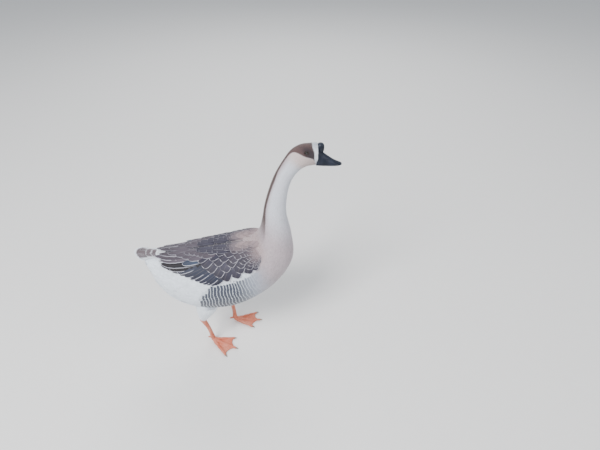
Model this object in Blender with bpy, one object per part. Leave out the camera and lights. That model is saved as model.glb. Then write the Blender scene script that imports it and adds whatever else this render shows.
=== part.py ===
"""A life-size Chinese goose in mid-step: neck raised, wings folded, both webbed feet on the ground.

The goose faces +X, its left side is +Y, and it stands on Z = 0. Sizes are in metres.
Its flesh is one form, lofted through upright sections between the line of the back and the line
of the breast and belly, and it is parted into torso, neck and head by thin cuts.
"""
import math
import random

import bmesh
import bpy
import numpy as np
from mathutils import Matrix, Vector
from mathutils.bvhtree import BVHTree

GAP = 0.0003
SIDES = {"right": -1.0, "left": 1.0}

# Sections of the flesh from tail to bill: (x, z) on the back, (x, z) on the belly, half width.
SECTIONS = {
    "tail_root": ((-0.176, 0.386), (-0.196, 0.338), 0.0460),
    "vent": ((-0.150, 0.386), (-0.176, 0.280), 0.0680),
    "abdomen": ((-0.110, 0.388), (-0.130, 0.219), 0.0890),
    "belly": ((-0.045, 0.398), (-0.055, 0.183), 0.1060),
    "keel": ((0.040, 0.410), (0.043, 0.181), 0.1110),
    "shoulder": ((0.105, 0.424), (0.133, 0.219), 0.1060),
    "breast": ((0.138, 0.438), (0.209, 0.279), 0.0890),
    "crop": ((0.152, 0.462), (0.253, 0.354), 0.0690),
    "neck_root": ((0.162, 0.502), (0.250, 0.440), 0.0490),
    "lower_neck": ((0.171, 0.552), (0.236, 0.520), 0.0355),
    "middle_neck": ((0.186, 0.606), (0.239, 0.584), 0.0295),
    "upper_neck": ((0.205, 0.656), (0.2525, 0.636), 0.0265),
    "throat": ((0.229, 0.699), (0.274, 0.668), 0.0265),
    "nape": ((0.252, 0.730), (0.294, 0.6815), 0.0285),
    "brow": ((0.283, 0.7465), (0.309, 0.6835), 0.0275),
    "bill_root": ((0.3235, 0.7475), (0.3235, 0.6840), 0.0210),
}
SECTION_AT = {name: float(index) for index, name in enumerate(SECTIONS)}
NECK_CUT = SECTION_AT["neck_root"] - 0.2
MID_NECK_CUT = SECTION_AT["middle_neck"] + 0.2
HEAD_CUT = SECTION_AT["throat"] + 0.35

# The bill: x of a section, top of the upper half, line of the mouth, bottom of the lower half, half width.
BILL_SECTIONS = (
    (0.0000, 0.7370, 0.6920, 0.6845, 0.0195),
    (0.0140, 0.7215, 0.6895, 0.6820, 0.0172),
    (0.0320, 0.7060, 0.6868, 0.6805, 0.0153),
    (0.0480, 0.6940, 0.6848, 0.6795, 0.0137),
    (0.0600, 0.6870, 0.6832, 0.6797, 0.0108),
    (0.0660, 0.6846, 0.6826, 0.6806, 0.0070),
)
BILL_TIP = (0.0685, 0.6820, 0.0030)
BILL_TIP_DEPTH = 0.0012
BILL_ARCH = 0.85
LOWER_BILL = {"narrower": 0.93, "shorter": 0.0035}
BILL_X = SECTIONS["bill_root"][0][0] + GAP
NOSTRIL_PLACE = (0.0310, 0.0135, 0.7000)
NOSTRIL_SIZE = (0.0052, 0.0034, 0.0017)
KNOB_PLACE = (0.3318, 0.0, 0.7362)
KNOB_SIZE = (0.0104, 0.0108, 0.0132)

EYE_PLACE = (0.2915, 0.0210, 0.7308)
EYE_RADIUS = 0.0054
# Faces round and from pole to pole on the balls that the eyes, the knob and the small joints start from.
EYE_FACES = (16, 9)
KNOB_FACES = (18, 12)
SMALL_BALL_FACES = (12, 8)
EYE_ANGLE = 62.0
LID_RISE = 0.0028
LID_RADII = (0.0059, 0.0010)
LID_STRETCH = (1.16, 1.0, 0.92)

TAIL_TIP = (-0.238, 0.396)
TAIL_CORE_REACH = 0.62
TAIL_HALF_WIDTH = 0.041
TAIL_EDGE = 0.0016
TAIL_THINNING = 1.15
TAIL_NARROWING = 0.45
TAIL_FEATHERS = 12
TAIL_FAN = {"half_spread": 0.0335, "root_spread": 0.45, "rounding": 0.024, "droop": 0.0066,
            "stagger": 0.0004, "half_width": 0.0072, "root_along": 0.22}
# Coverts over and under the tail's roots: how many, reach, height and half width.
TAIL_COVERTS = {"above": (5, 0.62, 0.0022, 0.0085), "below": (5, 0.80, -0.0030, 0.0090)}
TAIL_COVERT_FAN = {"spread": 0.75, "rounding": 0.1, "root_along": 0.08, "droop": 0.004}

VANE_THICKNESS = 0.0007
VANE_SHAPE = ((0.0, 0.60), (0.45, 0.95), (0.78, 1.0), (0.93, 0.72), (1.0, 0.30))
COVERT_SHAPE = ((0.0, 0.65), (0.55, 1.0), (0.87, 0.78), (1.0, 0.32))

# The body of the folded wing: place and angle on the flesh of its lower and upper edge, front to rear.
WING_LOWER = ((5.75, 52.0), (5.35, 63.0), (4.85, 64.5), (4.40, 62.5), (4.00, 60.0), (3.60, 55.0), (3.30, 44.0))
WING_UPPER = ((5.80, 42.0), (5.65, 28.0), (5.20, 14.0), (4.70, 10.5), (4.25, 9.5), (3.80, 9.5), (3.40, 11.0))
WING_RIM = 0.0016
WING_CREST = (0.0015, 0.0050, 0.0062, 0.0058, 0.0050, 0.0042, 0.0030)
WING_ROUNDNESS = 0.55
WING_SUNK = 0.004

# Tiers of the wing's feathers, nearest the body first: how many; place and angle of the first root,
# the last root, the first tip and the last tip; height over the flesh at the tip; height over the
# wing's body; half width; tilt.
WING_TIERS = {
    "primaries": (3, (4.05, 57.0), (3.70, 44.0), (2.05, 48.0), (0.85, 40.0), 0.0024, 0.0002, 0.0064, 0.05),
    "secondaries": (6, (4.15, 49.0), (3.50, 33.0), (3.42, 66.0), (2.35, 45.0), 0.0042, 0.0006, 0.0086, 0.13),
    "tertials": (5, (3.85, 33.0), (3.75, 17.0), (2.50, 38.5), (0.12, 22.0), 0.0070, 0.0016, 0.0084, 0.12),
    "greater_coverts": (5, (4.36, 43.0), (3.80, 24.0), (3.92, 61.0), (3.18, 33.0), 0.0058, 0.0014, 0.0114, 0.12),
    "median_coverts": (5, (4.72, 43.0), (4.02, 14.0), (4.36, 60.5), (3.42, 21.0), 0.0066, 0.0020, 0.0122, 0.11),
    "lesser_coverts": (5, (5.08, 43.0), (4.42, 13.5), (4.76, 59.5), (3.86, 17.0), 0.0068, 0.0022, 0.0120, 0.11),
    "front_coverts": (4, (5.38, 45.0), (4.86, 15.5), (5.10, 59.0), (4.34, 17.5), 0.0066, 0.0020, 0.0112, 0.11),
    "scapulars": (4, (4.75, 22.0), (4.35, 14.0), (3.72, 21.0), (2.75, 13.5), 0.0090, 0.0030, 0.0080, 0.10),
}
BROAD_TIERS = ("primaries", "secondaries", "tertials")
WING_ROOT_DEPTH = 0.0016
WING_SEED = 9
WING_SWAY = 0.035

# Each leg: hip, hock and ankle, the foot's heading, and the turn of its inner and outer toes.
LEGS = {
    "right": ((-0.026, -0.056, 0.222), (-0.057, -0.047, 0.120), (-0.034, -0.040, 0.021), -27.0, 29.0, -29.0),
    "left": ((0.012, 0.056, 0.222), (0.028, 0.050, 0.118), (0.040, 0.048, 0.021), -4.0, -26.0, 24.0),
}
THIGH_RADII = (0.038, 0.036, 0.029, 0.0190, 0.0115)
THIGH_BOW = 0.006
SHANK_RADII = (0.0088, 0.0072, 0.0062, 0.0060, 0.0066, 0.0078)
TOE_LENGTHS = {"inner": 0.074, "middle": 0.091, "outer": 0.083}
TOE_RADII = (0.0066, 0.0056, 0.0048, 0.0040)
TOE_END_HEIGHT = 0.0034
ANKLE_SWELL = 1.1
ANKLE_CLEARANCE = 1.15
HOCK_GAP = 0.0005
HIND_TOE = {"length": 0.017, "fall": 0.35, "radii": (0.0042, 0.0026)}
WEB_THICKNESS = 0.0018
WEB_REACH = 0.93
WEB_SAG = 0.86
CLAW_LENGTH = 0.0085
CLAW_RADII = (0.0026, 0.00195, 0.00065)
CLAW_GAP = 0.0004
CLAW_DROP = (0.0006, 0.0002, -0.0012)

# The middle of the standing goose's outline, which is moved to the origin.
MIDDLE_X = 0.0771

COLOURS = {
    "brown_plumage": ((0.235, 0.180, 0.145), 0.85),
    "cap_and_cheek": ((0.300, 0.215, 0.165), 0.85),
    "neck_plumage": ((0.560, 0.470, 0.420), 0.85),
    "wing_plumage": ((0.130, 0.105, 0.095), 0.75),
    "white_plumage": ((0.720, 0.700, 0.690), 0.85),
    "tail_plumage": ((0.300, 0.250, 0.220), 0.80),
    "black_horn": ((0.018, 0.020, 0.024), 0.35),
    "orange_leg": ((0.640, 0.200, 0.095), 0.45),
    "pale_claw": ((0.330, 0.240, 0.190), 0.40),
    "dark_eye": ((0.012, 0.009, 0.007), 0.08),
}


def clear_scene():
    for obj in list(bpy.data.objects):
        bpy.data.objects.remove(obj, do_unlink=True)


def new_collection(name):
    collection = bpy.data.collections.new(name)
    bpy.context.scene.collection.children.link(collection)
    return collection


def plumage(name):
    """The material of that name, made once."""
    if name in bpy.data.materials:
        return bpy.data.materials[name]
    colour, roughness = COLOURS[name]
    material = bpy.data.materials.new(name)
    material.use_nodes = True
    shader = material.node_tree.nodes["Principled BSDF"]
    shader.inputs["Base Color"].default_value = (*colour, 1.0)
    shader.inputs["Roughness"].default_value = roughness
    shader.inputs["Metallic"].default_value = 0.0
    return material


def spline(points, place):
    """A smooth line through rows of numbers, read at a place counted in rows."""
    rows = np.asarray(points, float)
    rows = np.vstack([2 * rows[0] - rows[1], rows, 2 * rows[-1] - rows[-2]])
    place = min(max(place, 0.0), len(points) - 1 - 1e-9)
    first = int(place)
    part = place - first
    a, b, c, d = rows[first:first + 4]
    bend = (2 * a - 5 * b + 4 * c - d) * part ** 2 + (3 * b - a - 3 * c + d) * part ** 3
    return 0.5 * (2 * b + (c - a) * part + bend)


def section(place):
    """Back (x, z), belly (x, z) and half width of the flesh at a place along SECTIONS."""
    rows = [(*back, *belly, width) for back, belly, width in SECTIONS.values()]
    row = spline(rows, place)
    return row[:2], row[2:4], row[4]


def flesh_point(place, angle, side=1.0):
    """A point of the flesh's surface; the angle runs from 0 on the back to pi on the belly."""
    back, belly, width = section(place)
    middle, half = (back + belly) / 2, (back - belly) / 2
    x, z = middle + half * math.cos(angle)
    return np.array([x, side * width * math.sin(angle), z])


def flesh_normal(place, angle, side=1.0):
    step = 0.01
    along = flesh_point(place + step, angle, side) - flesh_point(place - step, angle, side)
    around = flesh_point(place, angle + step, side) - flesh_point(place, angle - step, side)
    normal = np.cross(along, around) * side
    return normal / np.linalg.norm(normal)


def over_flesh(place, angle, height, side):
    return flesh_point(place, angle, side) + flesh_normal(place, angle, side) * height


def ring(place, count, slide=0.0):
    """One upright section of the flesh, slid along its own normal by a small length."""
    back, belly, _ = section(place)
    across = back - belly
    normal = np.array([across[1], 0.0, -across[0]]) / np.linalg.norm(across)
    angles = [2 * math.pi * k / count for k in range(count)]
    return [flesh_point(place, a) + normal * slide for a in angles]


def new_object(name, mesh, collection, material):
    mesh.name = name
    mesh.materials.clear()
    mesh.materials.append(plumage(material))
    obj = bpy.data.objects.new(name, mesh)
    collection.objects.link(obj)
    return obj


def mesh_of(bm):
    bmesh.ops.recalc_face_normals(bm, faces=bm.faces)
    mesh = bpy.data.meshes.new("form")
    bm.to_mesh(mesh)
    bm.free()
    return mesh


def loft(rings):
    """A closed form through unlike rings of as many points each, with flat ends."""
    bm = bmesh.new()
    rows = [[bm.verts.new(point) for point in points] for points in rings]
    count = len(rows[0])
    for low, high in zip(rows, rows[1:]):
        for k in range(count):
            bm.faces.new((low[k], low[(k + 1) % count], high[(k + 1) % count], high[k]))
    bm.faces.new(rows[0][::-1])
    bm.faces.new(rows[-1])
    return mesh_of(bm)


def ball(centre, radii, segments, rings):
    bm = bmesh.new()
    place = Matrix.Translation(centre) @ Matrix.Diagonal((*radii, 1.0))
    bmesh.ops.create_uvsphere(bm, u_segments=segments, v_segments=rings, radius=1.0, matrix=place)
    return mesh_of(bm)


def settled(obj):
    """The object's mesh with its modifiers taken up."""
    graph = bpy.context.evaluated_depsgraph_get()
    graph.update()
    mesh = bpy.data.meshes.new_from_object(obj.evaluated_get(graph))
    obj.modifiers.clear()
    return mesh


def tube(points, radii, resolution=2):
    """A round rod along a few points, made from a curve with a bevel and closed by its caps."""
    curve = bpy.data.curves.new("rod", "CURVE")
    curve.dimensions = "3D"
    curve.bevel_depth = 1.0
    curve.bevel_resolution = resolution
    curve.use_fill_caps = True
    line = curve.splines.new("POLY")
    line.points.add(len(points) - 1)
    for spot, point, radius in zip(line.points, points, radii):
        spot.co = (*point, 1.0)
        spot.radius = radius
    return welded(curve)


def plate(outline, thickness):
    """A flat plate on the ground with the given outline."""
    curve = bpy.data.curves.new("plate", "CURVE")
    curve.dimensions = "2D"
    curve.fill_mode = "BOTH"
    curve.extrude = thickness / 2
    line = curve.splines.new("POLY")
    line.points.add(len(outline) - 1)
    line.use_cyclic_u = True
    for spot, (x, y) in zip(line.points, outline):
        spot.co = (x, y, 0.0, 1.0)
    mesh = welded(curve)
    mesh.transform(Matrix.Translation((0.0, 0.0, thickness / 2)))
    return mesh


def welded(curve):
    """A curve's evaluated shape as a mesh whose caps are joined to it."""
    obj = bpy.data.objects.new("curve", curve)
    bpy.context.scene.collection.objects.link(obj)
    mesh = settled(obj)
    bpy.data.objects.remove(obj, do_unlink=True)
    bpy.data.curves.remove(curve)
    bm = bmesh.new()
    bm.from_mesh(mesh)
    bmesh.ops.remove_doubles(bm, verts=bm.verts, dist=1e-6)
    return mesh_of(bm)


def largest_body(mesh):
    """The mesh with only its largest closed surface kept."""
    bm = bmesh.new()
    bm.from_mesh(mesh)
    bmesh.ops.remove_doubles(bm, verts=bm.verts, dist=1e-6)
    seen = set()
    shells = []
    for start in bm.faces:
        if start in seen:
            continue
        shell = [start]
        seen.add(start)
        for face in shell:
            for edge in face.edges:
                for other in edge.link_faces:
                    if other not in seen:
                        seen.add(other)
                        shell.append(other)
        shells.append(shell)
    shells.sort(key=len)
    for shell in shells[:-1]:
        bmesh.ops.delete(bm, geom=shell, context="FACES")
    loose = [v for v in bm.verts if not v.link_faces]
    bmesh.ops.delete(bm, geom=loose, context="VERTS")
    return mesh_of(bm)


def combine(base, others, operation, solver="EXACT"):
    """One Boolean of a mesh with a collection of closed meshes, taken up at once."""
    tools = new_collection("tools")
    for mesh in others:
        tool = bpy.data.objects.new("tool", mesh)
        tool.hide_render = True
        tool.display_type = "WIRE"
        tools.objects.link(tool)
    obj = bpy.data.objects.new("base", base)
    bpy.context.scene.collection.objects.link(obj)
    boolean = obj.modifiers.new("combine", "BOOLEAN")
    boolean.operation = operation
    boolean.solver = solver
    boolean.operand_type = "COLLECTION"
    boolean.collection = tools
    mesh = settled(obj)
    for done in [obj, *tools.objects]:
        bpy.data.objects.remove(done, do_unlink=True)
    bpy.data.collections.remove(tools)
    return largest_body(mesh)


def swollen(mesh, distance=GAP):
    """A copy of a closed mesh with each face moved outward by a small distance."""
    bm = bmesh.new()
    bm.from_mesh(mesh)
    bm.normal_update()
    places = [v.co + v.normal * distance * v.calc_shell_factor() for v in bm.verts]
    for vert, place in zip(bm.verts, places):
        vert.co = place
    return mesh_of(bm)


def flesh(start, end, rings, count, gap_at_end=True):
    """A length of the flesh, ended just short of the next one."""
    places = [start + (end - start) * k / (rings - 1) for k in range(rings)]
    rows = [ring(place, count) for place in places[:-1]]
    rows.append(ring(end, count, -GAP if gap_at_end else 0.0))
    return loft(rows)


def eye_centre(side):
    x, y, z = EYE_PLACE
    return Vector((x, side * y, z))


def head_form():
    """The head with a raised ring of lids round each eye and a socket that the eye sits in."""
    form = flesh(HEAD_CUT, SECTION_AT["bill_root"], 14, 24, gap_at_end=False)
    lids = []
    sockets = []
    for side in SIDES.values():
        out = Vector(flesh_normal(SECTION_AT["brow"], math.radians(EYE_ANGLE), side))
        turn = out.to_track_quat("Y", "Z").to_matrix().to_4x4()
        place = Matrix.Translation(eye_centre(side) + out * LID_RISE)
        stretch = Matrix.Diagonal((*LID_STRETCH, 1.0))
        lid = lid_ring()
        lid.transform(place @ turn @ stretch)
        lids.append(lid)
        sockets.append(ball(eye_centre(side), (EYE_RADIUS + GAP,) * 3, *EYE_FACES))
    return combine(combine(form, lids, "UNION"), sockets, "DIFFERENCE")


def lid_ring(around=18, across=8):
    """A small ring whose axis is Y."""
    large, small = LID_RADII
    bm = bmesh.new()
    rows = []
    for i in range(around):
        a = 2 * math.pi * i / around
        row = []
        for j in range(across):
            b = 2 * math.pi * j / across
            reach = large + small * math.cos(b)
            row.append(bm.verts.new((reach * math.cos(a), small * math.sin(b), reach * math.sin(a))))
        rows.append(row)
    for i in range(around):
        for j in range(across):
            here, there = rows[i], rows[(i + 1) % around]
            bm.faces.new((here[j], here[(j + 1) % across], there[(j + 1) % across], there[j]))
    return mesh_of(bm)


def bill_half(upper, count=9):
    """Half of the bill, above or below the line of the mouth, arched across and flat at the mouth."""
    rings = []
    for x, top, mouth, bottom, width in BILL_SECTIONS:
        wide = width if upper else width * LOWER_BILL["narrower"]
        rings.append(bill_ring(x, top if upper else bottom, mouth, wide, count))
    x, z, width = BILL_TIP
    reach = x if upper else x - LOWER_BILL["shorter"]
    rings.append(bill_ring(reach, z + (BILL_TIP_DEPTH if upper else -BILL_TIP_DEPTH), z, width, count))
    mesh = loft(rings)
    mesh.transform(Matrix.Translation((BILL_X, 0.0, 0.0 if upper else -GAP)))
    return mesh


def bill_ring(x, crest, mouth, width, count):
    """One section of half a bill: an arch from side to side over the flat of the mouth."""
    points = []
    for k in range(count):
        angle = math.pi * k / (count - 1)
        y = width * math.cos(angle)
        z = mouth + (crest - mouth) * math.sin(angle) ** BILL_ARCH
        points.append((x, y, z))
    points.append((x, -width * 0.5, mouth))
    points.append((x, width * 0.5, mouth))
    return points


def make_head(goose):
    head = head_form()
    upper = bill_half(True)
    slots = []
    for side in SIDES.values():
        x, y, z = NOSTRIL_PLACE
        slots.append(ball((BILL_X + x, side * y, z), NOSTRIL_SIZE, *SMALL_BALL_FACES))
    upper = combine(upper, slots, "DIFFERENCE")
    knob = ball(KNOB_PLACE, KNOB_SIZE, *KNOB_FACES)
    knob = combine(knob, [swollen(head), swollen(upper)], "DIFFERENCE")
    new_object("head", head, goose, "cap_and_cheek")
    new_object("bill_upper", upper, goose, "black_horn")
    new_object("bill_lower", bill_half(False), goose, "black_horn")
    new_object("knob", knob, goose, "black_horn")
    for name, side in SIDES.items():
        new_object(f"eye_{name}", ball(eye_centre(side), (EYE_RADIUS,) * 3, *EYE_FACES), goose, "dark_eye")


def vane(rows, thickness=VANE_THICKNESS):
    """A thin closed blade through rows of three points, split into triangles alike on both faces."""
    bm = bmesh.new()
    faces = {}
    for sign in (1.0, -1.0):
        faces[sign] = [[bm.verts.new(point + normal * thickness * sign / 2) for point in points]
                       for points, normal in rows]
    for sign, sheet in faces.items():
        for near, far in zip(sheet, sheet[1:]):
            for k in range(2):
                for corners in ((near[k], near[k + 1], far[k]), (near[k + 1], far[k + 1], far[k])):
                    bm.faces.new(corners if sign > 0 else corners[::-1])
    top, base = faces[1.0], faces[-1.0]
    for i in range(len(top) - 1):
        for k in (0, 2):
            bm.faces.new((top[i][k], top[i + 1][k], base[i + 1][k], base[i][k]))
    for i in (0, len(top) - 1):
        for k in range(2):
            bm.faces.new((top[i][k], top[i][k + 1], base[i][k + 1], base[i][k]))
    return mesh_of(bm)


def wing_vane(core, root, tip, height, lift, half_width, tilt, shape, side):
    """A feather over the flank, its lower edge lifted so that it lies over the feather below it."""
    root, tip = np.array(root), np.array(tip)
    rows = []
    for part, breadth in shape:
        place, angle = root + (tip - root) * part
        scale = flesh_scale(place, angle)
        along = (tip - root) * (1.0, math.pi / 180) * scale
        across = np.array((-along[1], along[0])) / np.linalg.norm(along)
        if across[1] < 0:
            across = -across
        half = half_width * breadth
        over = height_over(core, place, math.radians(angle), side)
        rise = max(height * part, over + lift) if part > 0 else over - WING_ROOT_DEPTH
        points = []
        for k in (-1.0, 0.0, 1.0):
            spot = np.array((place, math.radians(angle))) + across * half * k / scale
            points.append(over_flesh(spot[0], spot[1], rise + tilt * half * k, side))
        rows.append((points, flesh_normal(place, math.radians(angle), side)))
    return vane(rows)


def height_over(core, place, angle, side):
    """Height of the wing's body over the flesh at one place, or nought beyond its edges.

    A ray falls on it from well above the thickest part of the wing.
    """
    reach = 0.03
    down = -Vector(flesh_normal(place, angle, side))
    hit = core.ray_cast(Vector(over_flesh(place, angle, reach, side)), down)
    return max(reach - hit[3], 0.0) if hit[3] is not None else 0.0


def flesh_scale(place, angle):
    """Metres on the flesh for one step of place and for one radian."""
    angle = math.radians(angle)
    step = 0.05
    low = max(place - step, 0.0)
    along = flesh_point(place + step, angle) - flesh_point(low, angle)
    around = flesh_point(place, angle + step) - flesh_point(place, angle - step)
    return np.array((np.linalg.norm(along) / (place + step - low), np.linalg.norm(around) / (2 * step)))


def wing_core(side, rows=13, columns=8):
    """The arm of the folded wing with its small feathers, as one smooth form that the vanes are rooted in."""
    tops, bases = [], []
    for i in range(rows):
        along = i / (rows - 1) * (len(WING_LOWER) - 1)
        low, high = spline(WING_LOWER, along), spline(WING_UPPER, along)
        crest = spline([(c,) for c in WING_CREST], along)[0]
        top_row, base_row = [], []
        for j in range(columns):
            across = j / (columns - 1)
            place, angle = low + (high - low) * across
            height = WING_RIM + crest * math.sin(math.pi * across) ** WING_ROUNDNESS
            top_row.append(over_flesh(place, math.radians(angle), height, side))
            base_row.append(over_flesh(place, math.radians(angle), -WING_SUNK, side))
        tops.append(top_row)
        bases.append(base_row)
    return shell(tops, bases)


def shell(tops, bases):
    """A closed form between two sheets of as many points each."""
    bm = bmesh.new()
    tops = [[bm.verts.new(p) for p in row] for row in tops]
    bases = [[bm.verts.new(p) for p in row] for row in bases]
    rows, columns = len(tops), len(tops[0])
    for i in range(rows - 1):
        for j in range(columns - 1):
            bm.faces.new((tops[i][j], tops[i][j + 1], tops[i + 1][j + 1], tops[i + 1][j]))
            bm.faces.new((bases[i][j], bases[i + 1][j], bases[i + 1][j + 1], bases[i][j + 1]))
        for j in (0, columns - 1):
            bm.faces.new((tops[i][j], tops[i + 1][j], bases[i + 1][j], bases[i][j]))
    for j in range(columns - 1):
        for i in (0, rows - 1):
            bm.faces.new((tops[i][j], tops[i][j + 1], bases[i][j + 1], bases[i][j]))
    return mesh_of(bm)


def wing_feathers(core, side):
    """All the large feathers of a folded wing, tier by tier, varied a little as real ones are."""
    draw = random.Random(WING_SEED)
    body = BVHTree.FromPolygons([v.co for v in core.vertices], [f.vertices[:] for f in core.polygons])
    vanes = []
    for tier, (count, root0, root1, tip0, tip1, height, lift, half_width, tilt) in WING_TIERS.items():
        shape = VANE_SHAPE if tier in BROAD_TIERS else COVERT_SHAPE
        for k in range(count):
            part = k / (count - 1)
            root = [a + (b - a) * part for a, b in zip(root0, root1)]
            tip = [a + (b - a) * part for a, b in zip(tip0, tip1)]
            tip[0] += draw.uniform(-WING_SWAY, WING_SWAY)
            rise = lift + draw.uniform(0.0, 0.0003)
            vanes.append(wing_vane(body, root, tip, height, rise, half_width, tilt, shape, side))
    return vanes


def wing_form(side, torso, tail):
    core = wing_core(side)
    feathered = combine(core, wing_feathers(core, side), "UNION")
    return combine(feathered, [swollen(torso), swollen(tail, 2 * GAP)], "DIFFERENCE", "MANIFOLD")


def tail_frame():
    """The tail's root on the back, its direction and the way up from its upper face."""
    back, belly, _ = section(0.0)
    root = np.array((back[0], 0.0, back[1]))
    reach = np.array((TAIL_TIP[0], 0.0, TAIL_TIP[1])) - root
    length = np.linalg.norm(reach)
    along = reach / length
    return root, along, np.array((-along[2], 0.0, along[0])) * -1.0, length


def tail_core(reach, count=20):
    """The rump and the roots of the tail: flat above and drawn up below as it thins towards its end."""
    steps = [k / 4 for k in range(5)]
    return loft([tail_ring(step * reach, step, count) for step in steps])


def tail_ring(along, part, count):
    back, belly, width = section(0.0)
    across = (back - belly) / np.linalg.norm(back - belly)
    normal = np.array([-across[1], across[0]])
    tip = np.array(TAIL_TIP)
    top = back + (tip - back) * along + normal * GAP * (1.0 - part)
    drop = np.linalg.norm(back - belly) * (1.0 - part) ** TAIL_THINNING * (1.0 - along) + TAIL_EDGE
    half_width = (width + (TAIL_HALF_WIDTH - width) * along) * math.sqrt(1.0 - TAIL_NARROWING * part ** 2)
    points = []
    for k in range(count):
        angle = 2 * math.pi * k / count
        x, z = top + across * drop * (math.cos(angle) - 1.0) / 2
        points.append((x, half_width * math.sin(angle), z))
    return points


def tail_vane(spread, tip_along, root_along, height, half_width, drop, shape):
    """A feather of the tail; spread runs from -1 on the right to 1 on the left."""
    root, along, up, length = tail_frame()
    sideways = np.array((0.0, 1.0, 0.0))
    root_side = spread * TAIL_FAN["half_spread"] * TAIL_FAN["root_spread"]
    start = root + along * length * root_along + sideways * root_side
    end = root + along * length * tip_along + sideways * spread * TAIL_FAN["half_spread"]
    way = (end - start) / np.linalg.norm(end - start)
    across = np.cross(up, way)
    rows = []
    for part, breadth in shape:
        centre = start + (end - start) * part + up * (height - drop * abs(spread) * (0.4 + 0.6 * part))
        rows.append(([centre + across * half_width * breadth * k for k in (-1.0, 0.0, 1.0)], up))
    return vane(rows)


def tail_feathers():
    """The tail's fan, its middle feathers uppermost, with the coverts that hide its roots."""
    vanes = []
    for k in range(TAIL_FEATHERS):
        spread = (2 * k + 1) / TAIL_FEATHERS - 1.0
        tip_along = 1.0 - TAIL_FAN["rounding"] * spread ** 2 / tail_frame()[3]
        height = 0.0 if k % 2 else TAIL_FAN["stagger"]
        vanes.append(tail_vane(spread, tip_along, TAIL_FAN["root_along"], height,
                               TAIL_FAN["half_width"], TAIL_FAN["droop"], VANE_SHAPE))
    fan = TAIL_COVERT_FAN
    for count, reach, height, half_width in TAIL_COVERTS.values():
        for k in range(count):
            spread = (2 * k - count + 1) / count
            vanes.append(tail_vane(spread * fan["spread"], reach - fan["rounding"] * spread ** 2,
                                   fan["root_along"], height, half_width, fan["droop"], COVERT_SHAPE))
    return vanes


def tail_form():
    return combine(tail_core(TAIL_CORE_REACH), tail_feathers(), "UNION")


def thigh_form(side_name):
    hip, hock = LEGS[side_name][:2]
    line = [Vector(hip).lerp(Vector(hock), k / 4) for k in range(5)]
    bow = (Vector(hip) - Vector(hock)).cross(Vector((0, 1, 0))).normalized() * THIGH_BOW
    points = [p + bow * math.sin(math.pi * k / 4) for k, p in enumerate(line)]
    return tube(points, THIGH_RADII, 4)


def shank_form(side_name):
    """The bare shank, from just below the thigh's end to just above the foot's joint."""
    hock, ankle = (Vector(p) for p in LEGS[side_name][1:3])
    along = (ankle - hock).normalized()
    start = hock + along * HOCK_GAP
    end = ankle - along * TOE_RADII[0] * ANKLE_CLEARANCE
    points = [start.lerp(end, k / 5) for k in range(6)]
    return tube(points, SHANK_RADII, 3)


def toe_line(side_name, toe, count=4):
    """Points of a toe from the joint of the foot to the root of its claw."""
    ankle, heading, inner, outer = LEGS[side_name][2:6]
    turn = {"inner": inner, "middle": 0.0, "outer": outer}[toe]
    angle = math.radians(heading + turn)
    points = []
    for k in range(count):
        part = k / (count - 1)
        reach = TOE_LENGTHS[toe] * part
        height = ankle[2] * (1 - part) ** 3 + TOE_END_HEIGHT * (1 - (1 - part) ** 3)
        x, y = ankle[0] + reach * math.cos(angle), ankle[1] + reach * math.sin(angle)
        points.append(Vector((x, y, height)))
    return points


def web_outline(side_name):
    """The outline of both webs: out along the outer toes and in a shallow curve from tip to tip."""
    ankle = LEGS[side_name][2]
    heel = Vector((ankle[0], ankle[1]))
    tips = [toe_line(side_name, toe)[-1].to_2d() for toe in ("inner", "middle", "outer")]
    tips = [heel.lerp(tip, WEB_REACH) for tip in tips]
    outline = [heel]
    for near, far in zip(tips, tips[1:]):
        outline.append(near)
        for part in (0.25, 0.5, 0.75):
            sag = 1.0 - (1.0 - WEB_SAG) * math.sin(math.pi * part)
            outline.append(heel.lerp(near.lerp(far, part), sag))
    outline.append(tips[-1])
    return [tuple(p) for p in outline]


def foot_form(side_name):
    """Three toes with webs between them and a small hind toe, all cut flat at the ground."""
    ankle, heading = LEGS[side_name][2:4]
    pieces = [tube(toe_line(side_name, toe), TOE_RADII, 2) for toe in ("inner", "middle")]
    back = math.radians(heading + 180.0)
    spur = Vector((math.cos(back), math.sin(back), -HIND_TOE["fall"])) * HIND_TOE["length"]
    pieces.append(tube([Vector(ankle), Vector(ankle) + spur], HIND_TOE["radii"], 2))
    pieces.append(plate(web_outline(side_name), WEB_THICKNESS))
    foot = combine(tube(toe_line(side_name, "outer"), TOE_RADII, 2), pieces, "UNION")
    ball_joint = ball(ankle, (TOE_RADII[0] * ANKLE_SWELL,) * 3, *SMALL_BALL_FACES)
    foot = combine(foot, [ball_joint], "UNION")
    return flat_soled(foot)


def flat_soled(mesh):
    """The mesh with all that lies below the ground cut away."""
    bm = bmesh.new()
    bm.from_mesh(mesh)
    everything = bm.verts[:] + bm.edges[:] + bm.faces[:]
    cut = bmesh.ops.bisect_plane(bm, geom=everything, dist=1e-6, plane_co=(0, 0, 0),
                                 plane_no=(0, 0, -1), clear_outer=True)
    edges = [e for e in cut["geom_cut"] if isinstance(e, bmesh.types.BMEdge)]
    bmesh.ops.holes_fill(bm, edges=edges, sides=0)
    return mesh_of(bm)


def claw_form(side_name, toe):
    line = toe_line(side_name, toe)
    along = (line[-1] - line[-2]).normalized()
    start = line[-1] + along * CLAW_GAP
    points = [start + along * CLAW_LENGTH * k / 2 + Vector((0, 0, drop)) for k, drop in enumerate(CLAW_DROP)]
    return tube(points, CLAW_RADII, 1)


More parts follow.
